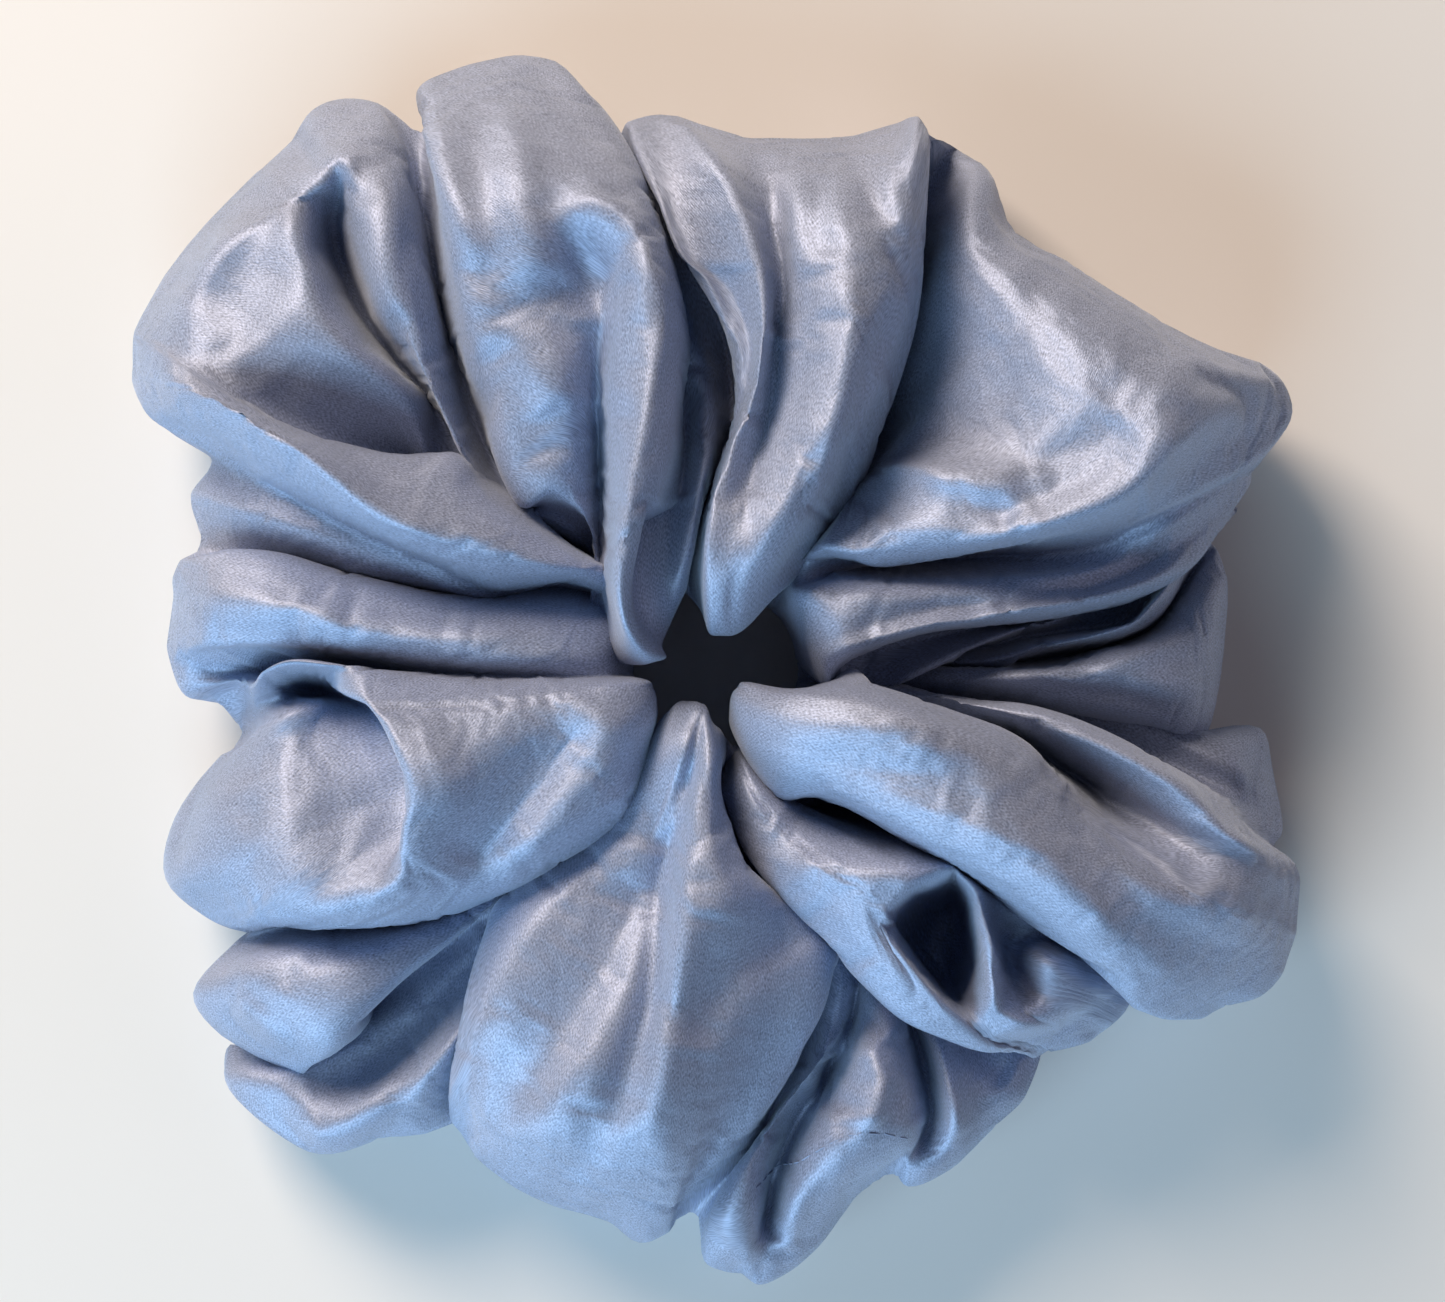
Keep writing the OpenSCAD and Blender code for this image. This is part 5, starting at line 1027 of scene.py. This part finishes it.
def cloth_mesh(name, net, cover):
    """The strip of cloth as a mesh: laid out flat, gathered, and joined at the closing seam."""
    columns, rows = net.shape[:2]
    places = weave_places(net, cover)
    bm = bmesh.new()
    bmesh.ops.create_grid(bm, x_segments=columns, y_segments=rows - 1, size=0.5)
    weave = bm.loops.layers.uv.new("weave")
    where = {}
    for vert in bm.verts:
        where[vert.index] = (round((vert.co.x + 0.5) * columns), round((vert.co.y + 0.5) * (rows - 1)))
    owner = {}
    for fold, (first, last, _) in places.items():
        for column in range(first, last):
            owner[column % columns] = (fold, column)
    for face in bm.faces:
        left = min(where[vert.index][0] for vert in face.verts)
        fold, column = owner[left]
        first, _, uv = places[fold]
        for loop in face.loops:
            u, v = where[loop.vert.index]
            loop[weave].uv = uv[column + u - left - first, v]
    for vert in bm.verts:
        u, v = where[vert.index]
        vert.co = net[u % columns, v] * MM
    ends = [vert for vert in bm.verts if where[vert.index][0] in (0, columns)]
    bmesh.ops.remove_doubles(bm, verts=ends, dist=1e-6)
    bm.normal_update()
    crown = max(bm.faces, key=lambda face: face.calc_center_median().z)
    if crown.normal.z < 0:
        bmesh.ops.reverse_faces(bm, faces=bm.faces)
    for face in bm.faces:
        face.smooth = True
    mesh = bpy.data.meshes.new(name)
    bm.to_mesh(mesh)
    bm.free()
    return mesh


def place_piece(name, mesh, material, slot, *stands_for):
    """Links a mesh as a piece that rides on the scrunchie's one body and stands for solids."""
    piece = bpy.data.objects.new(name, mesh)
    bpy.context.scene.collection.objects.link(piece)
    mesh.materials.append(material)
    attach(piece, "root")
    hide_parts(*stands_for)
    return piece


# Hold on the cloth while it settles: the least, in percent, and the height above the table and
# the distance from the axis below which it grows, over a range, until it is full, in metres
LEAST_HOLD = 22
LOW_HELD, LOW_RANGE = 0.012, 0.008
NECK_HELD, NECK_RANGE = 0.020, 0.006
# Farthest that a point of the cloth moves while it settles, and lowest that it comes to lie,
# in metres
SETTLE_MOST, SETTLE_FLOOR = 0.0015, 0.0003


def settle(piece, cover):
    """Lets the cloth settle with the cloth simulation, and applies the result."""
    count = len(piece.data.vertices)
    before = np.empty(count * 3)
    piece.data.vertices.foreach_get("co", before)
    before = before.reshape(-1, 3)
    held = piece.vertex_groups.new(name="held")
    reach = np.hypot(before[:, 0], before[:, 1])
    low = np.clip((LOW_HELD - before[:, 2]) / LOW_RANGE, 0, 1)
    neck = np.clip((NECK_HELD - reach) / NECK_RANGE, 0, 1)
    percent = np.maximum(LEAST_HOLD, np.round(np.maximum(low, neck) * 100))
    for share in range(LEAST_HOLD, 101):
        chosen = np.nonzero(percent == share)[0]
        if len(chosen):
            held.add(chosen.tolist(), share / 100, "REPLACE")
    cloth = piece.modifiers.new("settle", "CLOTH")
    settings = cloth.settings
    settings.quality = 5
    settings.mass = 0.0001
    settings.tension_stiffness = 20
    settings.compression_stiffness = 20
    settings.shear_stiffness = 3
    settings.bending_stiffness = 0.05
    settings.bending_damping = 0.5
    settings.vertex_group_mass = held.name
    settings.pin_stiffness = 0.6
    settings.shrink_min = -cover.ease
    settings.effector_weights.gravity = 0.3
    cloth.collision_settings.use_collision = False
    cloth.collision_settings.use_self_collision = False
    cloth.point_cache.frame_start = 1
    cloth.point_cache.frame_end = cover.sag_frames
    scene = bpy.context.scene
    for step in range(1, cover.sag_frames + 1):
        scene.frame_set(step)
    evaluated = piece.evaluated_get(bpy.context.evaluated_depsgraph_get())
    after = np.empty(count * 3)
    evaluated.data.vertices.foreach_get("co", after)
    after = after.reshape(-1, 3)
    moved = after - before
    length = np.linalg.norm(moved, axis=1, keepdims=True)
    after = before + moved * np.minimum(1, SETTLE_MOST / np.maximum(length, 1e-9))
    after[:, 2] = np.maximum(after[:, 2], SETTLE_FLOOR)
    piece.modifiers.remove(cloth)
    piece.vertex_groups.remove(held)
    scene.frame_set(1)
    piece.data.vertices.foreach_set("co", after.ravel())
    piece.data.update()


# Stitches ----------------------------------------------------------------------------------

# Step of the closing seam's route in degrees, the height in metres from which the cloth below it
# is sought, and how far the thread's middle lies above the cloth, as a share of its thickness
SEAM_STEP, SEEK_HEIGHT, THREAD_RISE = 0.25, 0.1, 0.15


def stitch(bm, start, end, thickness):
    """Adds one stitch, a slim bead of thread from start to end."""
    along = end - start
    turn = along.to_track_quat("Z", "Y").to_matrix().to_4x4()
    size = Matrix.Diagonal((thickness / 2, thickness / 2, along.length / 2, 1))
    place = Matrix.Translation((start + end) / 2) @ turn @ size
    bmesh.ops.create_uvsphere(bm, u_segments=8, v_segments=6, radius=1, matrix=place)


def stitched(name, route, thread):
    """Mesh of a row of stitches along a route of points."""
    bm = bmesh.new()
    route = [Vector(point) for point in route]
    runs = [0]
    for a, b in zip(route, route[1:]):
        runs.append(runs[-1] + (b - a).length)
    places = np.array([tuple(point) for point in route])

    def at(run):
        return Vector([np.interp(run, runs, places[:, axis]) for axis in range(3)])

    for i in range(int((runs[-1] - thread.stitch) / thread.pitch) + 1):
        stitch(bm, at(i * thread.pitch), at(i * thread.pitch + thread.stitch), thread.thickness)
    for face in bm.faces:
        face.smooth = True
    mesh = bpy.data.meshes.new(name)
    bm.to_mesh(mesh)
    bm.free()
    return mesh


def seam_route(cover_piece, thread):
    """Points of the closing seam on the cloth, a little sunk in it."""
    tree = BVHTree.FromObject(cover_piece, bpy.context.evaluated_depsgraph_get())
    angles = [point[0] for point in CLOSING_SEAM]
    reaches = [point[1] for point in CLOSING_SEAM]
    route = []
    for angle in np.arange(angles[0], angles[-1], SEAM_STEP):
        x, y, _ = spot(angle, float(np.interp(angle, angles, reaches)), 0)
        above = Vector((x * MM, y * MM, SEEK_HEIGHT))
        place, normal, _, _ = tree.ray_cast(above, Vector((0, 0, -1)))
        route.append(place + normal * thread.thickness * THREAD_RISE)
    return route


# Materials ---------------------------------------------------------------------------------

# Slant of the satin's diagonal lines to the length of the strip
SLANT = math.radians(32)
# Shares of the diagonal lines, the single threads and the thicker threads in the satin's shade
TWILL_SHARE, THREAD_SHARE, SLUB_SHARE = 0.07, 0.78, 0.15


class Finish:
    """A material of its own with its surface shader and a short way to add nodes."""

    def __init__(self, name, colour, roughness):
        self.material = bpy.data.materials.new(name)
        self.material.use_nodes = True
        self.tree = self.material.node_tree
        self.surface = self.tree.nodes["Principled BSDF"]
        self.colour = (*colour, 1)
        self.set(self.surface, {"Base Color": self.colour, "Roughness": roughness})

    def set(self, node, values):
        """Links or sets each of a node's sockets that the values name."""
        for socket, value in values.items():
            if isinstance(value, bpy.types.NodeSocket):
                self.tree.links.new(value, node.inputs[socket])
            else:
                node.inputs[socket].default_value = value

    def add(self, kind, options=None, **values):
        """Adds a node of a kind, with its options and its sockets' values."""
        node = self.tree.nodes.new("ShaderNode" + kind)
        for option, value in (options or {}).items():
            setattr(node, option, value)
        self.set(node, {key.replace("_", " "): value for key, value in values.items()})
        return node

    def math(self, operation, a, b):
        """The outcome of a sum on two values."""
        node = self.add("Math", {"operation": operation})
        self.set(node, {0: a, 1: b})
        return node.outputs[0]

    def noise(self, where, scale, detail):
        """Noise of a scale, as a factor."""
        return self.add("TexNoise", Vector=where, Scale=scale, Detail=detail).outputs["Fac"]

    def mapped(self, where, scale, rotation=0.0):
        """The coordinates, scaled and turned about the third axis."""
        node = self.add("Mapping", Vector=where)
        self.set(node, {"Scale": scale, "Rotation": (0, 0, rotation)})
        return node.outputs["Vector"]

    def bands(self, where, pitch):
        """Wave from 0 to 1 and back along the first axis, one for each pitch."""
        node = self.add("TexWave", {"wave_type": "BANDS", "bands_direction": "X"}, Vector=where)
        self.set(node, {"Scale": math.pi / 10 / pitch, "Distortion": 0.0})
        return node.outputs["Fac"]

    def tinted(self, factor, low, high):
        """Mixes two shades of the colour by a factor and gives it to the surface."""
        node = self.add("Mix", {"data_type": "RGBA"})
        self.set(node, {0: factor, 6: scaled(self.colour, low), 7: scaled(self.colour, high)})
        self.tree.links.new(node.outputs[2], self.surface.inputs["Base Color"])

    def bumped(self, *layers):
        """Bump from (height, depth) layers, coarse first."""
        normal = None
        for height, depth in layers:
            node = self.add("Bump", Height=height, Strength=1.0, Distance=depth)
            if normal:
                self.tree.links.new(normal, node.inputs["Normal"])
            normal = node.outputs["Normal"]
        self.tree.links.new(normal, self.surface.inputs["Normal"])


def scaled(colour, share):
    """A colour made lighter or darker, with its alpha kept."""
    return (*(min(1, c * share) for c in colour[:3]), 1)


def satin_finish(cover):
    """Satin: smooth, with a soft broad sheen across fine diagonal lines."""
    satin = Finish("satin", cover.colour, 0.55)
    satin.set(satin.surface, {
        "Metallic": 0.34, "Anisotropic": 0.5, "Sheen Weight": 0.3, "Sheen Roughness": 0.4,
        "Sheen Tint": (0.80, 0.88, 1.0, 1)})
    cloth = satin.add("UVMap", {"uv_map": "weave"}).outputs[0]
    tangent = satin.add("Tangent", {"direction_type": "UV_MAP", "uv_map": "weave"})
    satin.tree.links.new(tangent.outputs[0], satin.surface.inputs["Tangent"])
    wander = satin.noise(cloth, 60, 1.0)
    place = satin.add("VectorMath", {"operation": "ADD"})
    nudge = satin.add("CombineXYZ", X=satin.math("MULTIPLY", wander, 0.002))
    satin.set(place, {0: cloth, 1: nudge.outputs[0]})
    twill = satin.bands(satin.mapped(place.outputs[0], (1, 1, 1), SLANT), cover.twill_pitch)
    threads = satin.noise(satin.mapped(cloth, (1, 0.6, 1), SLANT), 4200, 1.0)
    slubs = satin.noise(satin.mapped(cloth, (1, 0.2, 1)), 900, 2.0)
    waves = satin.noise(cloth, 130, 2.0)
    lines = satin.math("MULTIPLY", twill, TWILL_SHARE)
    weave = satin.math("ADD", lines, satin.math("MULTIPLY", threads, THREAD_SHARE))
    shade = satin.math("ADD", weave, satin.math("MULTIPLY", slubs, SLUB_SHARE))
    satin.tinted(shade, 0.0, 2.0)
    satin.bumped((waves, 0.0003), (slubs, 0.00005), (twill, 0.000006), (threads, 0.00004))
    return satin.material


def elastic_finish(thread):
    """Braided elastic: matt ribs along its length, crossed by a fine braid."""
    elastic = Finish("elastic", thread.elastic_colour, 0.8)
    where = elastic.add("TexCoord").outputs["Object"]
    parts = elastic.add("SeparateXYZ", Vector=where)
    ribs = elastic.bands(elastic.add("CombineXYZ", X=parts.outputs["Z"]).outputs[0], 0.001)
    braid = elastic.noise(elastic.mapped(where, (1, 1, 0.4)), 2600, 2.0)
    ridges = elastic.math("MULTIPLY", ribs, 0.7)
    height = elastic.math("ADD", ridges, elastic.math("MULTIPLY", braid, 0.3))
    elastic.tinted(height, 0.80, 1.04)
    elastic.bumped((height, 0.00015))
    elastic.set(elastic.surface, {"Sheen Weight": 0.3, "Sheen Roughness": 0.6})
    return elastic.material


def thread_finish(name, colour):
    """Spun thread: matt, with a fine twist."""
    spun = Finish(name, colour, 0.7)
    where = spun.add("TexCoord").outputs["Object"]
    twist = spun.noise(where, 4200, 3.0)
    spun.tinted(twist, 0.78, 1.12)
    spun.bumped((twist, 0.00004))
    spun.set(spun.surface, {"Sheen Weight": 0.2, "Sheen Roughness": 0.5})
    return spun.material


def table_finish(stage):
    """Smooth white table top."""
    table = Finish("table", stage.table_colour, 0.55)
    where = table.add("TexCoord").outputs["Object"]
    table.tinted(table.noise(where, 3.0, 2.0), 0.985, 1.015)
    return table.material


def dress(node, material):
    """Gives a carried-over solid its material."""
    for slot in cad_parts[node].material_slots:
        slot.material = material


# Operators ---------------------------------------------------------------------------------

def settings_of(context, name):
    """The group of settings with this name."""
    return getattr(context.scene, "scrunchie_" + name)


class SCRUNCHIE_OT_cover(bpy.types.Operator):
    """Make the gathered satin cover"""
    bl_idname = "scrunchie.cover"
    bl_label = "Satin cover"

    def execute(self, context):
        cover = settings_of(context, "cover")
        net = gathered_net(cover)
        mesh = cloth_mesh("cover", net, cover)
        piece = place_piece("cover", mesh, satin_finish(cover), "satin", "satin_cover")
        settle(piece, cover)
        return {"FINISHED"}


class SCRUNCHIE_OT_closing_seam(bpy.types.Operator):
    """Sew the closing seam on the cover"""
    bl_idname = "scrunchie.closing_seam"
    bl_label = "Closing seam"

    def execute(self, context):
        thread = settings_of(context, "thread")
        cover_piece = bpy.data.objects["cover"]
        mesh = stitched("closing_seam", seam_route(cover_piece, thread), thread)
        finish = thread_finish("cover_thread", thread.colour)
        place_piece("closing_seam", mesh, finish, "cover_thread", "closing_seam_stitches")
        return {"FINISHED"}


class SCRUNCHIE_OT_inside(bpy.types.Operator):
    """Finish the elastic and the stitches inside the cover"""
    bl_idname = "scrunchie.inside"
    bl_label = "Elastic and inner stitches"

    def execute(self, context):
        thread = settings_of(context, "thread")
        dress("elastic_band", elastic_finish(thread))
        dress("elastic_join_stitches", thread_finish("elastic_thread", thread.elastic_thread_colour))
        dress("long_seam_stitches", thread_finish("long_seam_thread", thread.colour))
        return {"FINISHED"}


# Half the side of the table, the point of the table below the camera, and where the lamps aim
TABLE_REACH = 3
VIEW_MIDDLE = (0.000945, 0.00214)
AIM = (0, 0, 0.02)


def lamp(name, place, size, power, colour):
    """A square soft lamp that points at the scrunchie."""
    light = bpy.data.lights.new(name, "AREA")
    light.size = size
    light.energy = power
    light.color = colour
    holder = bpy.data.objects.new(name, light)
    holder.location = place
    holder.rotation_euler = (Vector(AIM) - Vector(place)).to_track_quat("-Z", "Y").to_euler()
    bpy.context.scene.collection.objects.link(holder)


def table_top(stage):
    """The pale table that the scrunchie lies on."""
    bm = bmesh.new()
    bmesh.ops.create_grid(bm, x_segments=1, y_segments=1, size=TABLE_REACH)
    mesh = bpy.data.meshes.new("table")
    bm.to_mesh(mesh)
    bm.free()
    mesh.materials.append(table_finish(stage))
    table = bpy.data.objects.new("table", mesh)
    bpy.context.scene.collection.objects.link(table)


def camera(stage):
    """Looks straight down on the scrunchie."""
    lens = bpy.data.cameras.new("camera")
    holder = bpy.data.objects.new("camera", lens)
    holder.location = (*VIEW_MIDDLE, stage.camera_height)
    lens.sensor_width = 36
    half_width = stage.view_width / 2
    lens.lens = lens.sensor_width / 2 * (stage.camera_height - stage.fold_level) / half_width
    lens.clip_start = 0.01
    bpy.context.scene.collection.objects.link(holder)
    bpy.context.scene.camera = holder


class SCRUNCHIE_OT_stage(bpy.types.Operator):
    """Make the table, the lamps, the room's light and the camera"""
    bl_idname = "scrunchie.stage"
    bl_label = "Stage"

    def execute(self, context):
        stage = settings_of(context, "stage")
        table_top(stage)
        lamp("window", (-0.50, 0.75, 0.62), 0.50, stage.window_power, (1.0, 0.82, 0.66))
        lamp("sky", (-0.48, -0.78, 0.44), 1.1, stage.sky_power, (0.54, 0.80, 1.0))
        lamp("side", (0.9, 0.0, 0.55), 0.7, stage.side_power, (1.0, 0.88, 0.98))
        world = bpy.data.worlds.new("room")
        world.use_nodes = True
        room = world.node_tree.nodes["Background"]
        room.inputs["Color"].default_value = (0.72, 0.80, 0.95, 1)
        room.inputs["Strength"].default_value = 0.07
        context.scene.world = world
        context.scene.view_settings.view_transform = "Standard"
        camera(stage)
        return {"FINISHED"}


class SCRUNCHIE_PT_panel(bpy.types.Panel):
    """Sizes, colours and buttons of the scrunchie"""
    bl_idname = "SCRUNCHIE_PT_panel"
    bl_label = "Scrunchie"
    bl_space_type = "VIEW_3D"
    bl_region_type = "UI"
    bl_category = "Scrunchie"

    def draw(self, context):
        for name, operators in GROUPS.items():
            settings = settings_of(context, name)
            box = self.layout.box()
            box.label(text=name.capitalize())
            for value in settings.bl_rna.properties:
                if not value.is_readonly and value.identifier != "name":
                    box.prop(settings, value.identifier)
            for operator in operators:
                box.operator(operator)


SETTINGS = {"cover": CoverSettings, "thread": ThreadSettings, "stage": StageSettings}
GROUPS = {
    "cover": ["scrunchie.cover"],
    "thread": ["scrunchie.closing_seam", "scrunchie.inside"],
    "stage": ["scrunchie.stage"],
}
CLASSES = (*SETTINGS.values(), SCRUNCHIE_OT_cover, SCRUNCHIE_OT_closing_seam, SCRUNCHIE_OT_inside,
           SCRUNCHIE_OT_stage, SCRUNCHIE_PT_panel)


def register():
    """Adds the settings, the operators and the panel."""
    for cls in CLASSES:
        bpy.utils.register_class(cls)
    for name, group in SETTINGS.items():
        setattr(bpy.types.Scene, "scrunchie_" + name, PointerProperty(type=group))


def unregister():
    """Takes them away again."""
    for name in SETTINGS:
        delattr(bpy.types.Scene, "scrunchie_" + name)
    for cls in reversed(CLASSES):
        bpy.utils.unregister_class(cls)


def main():
    """Builds the scrunchie on its stage."""
    register()
    bpy.ops.scrunchie.cover()
    bpy.ops.scrunchie.closing_seam()
    bpy.ops.scrunchie.inside()
    bpy.ops.scrunchie.stage()


if __name__ == "__main__":
    main()
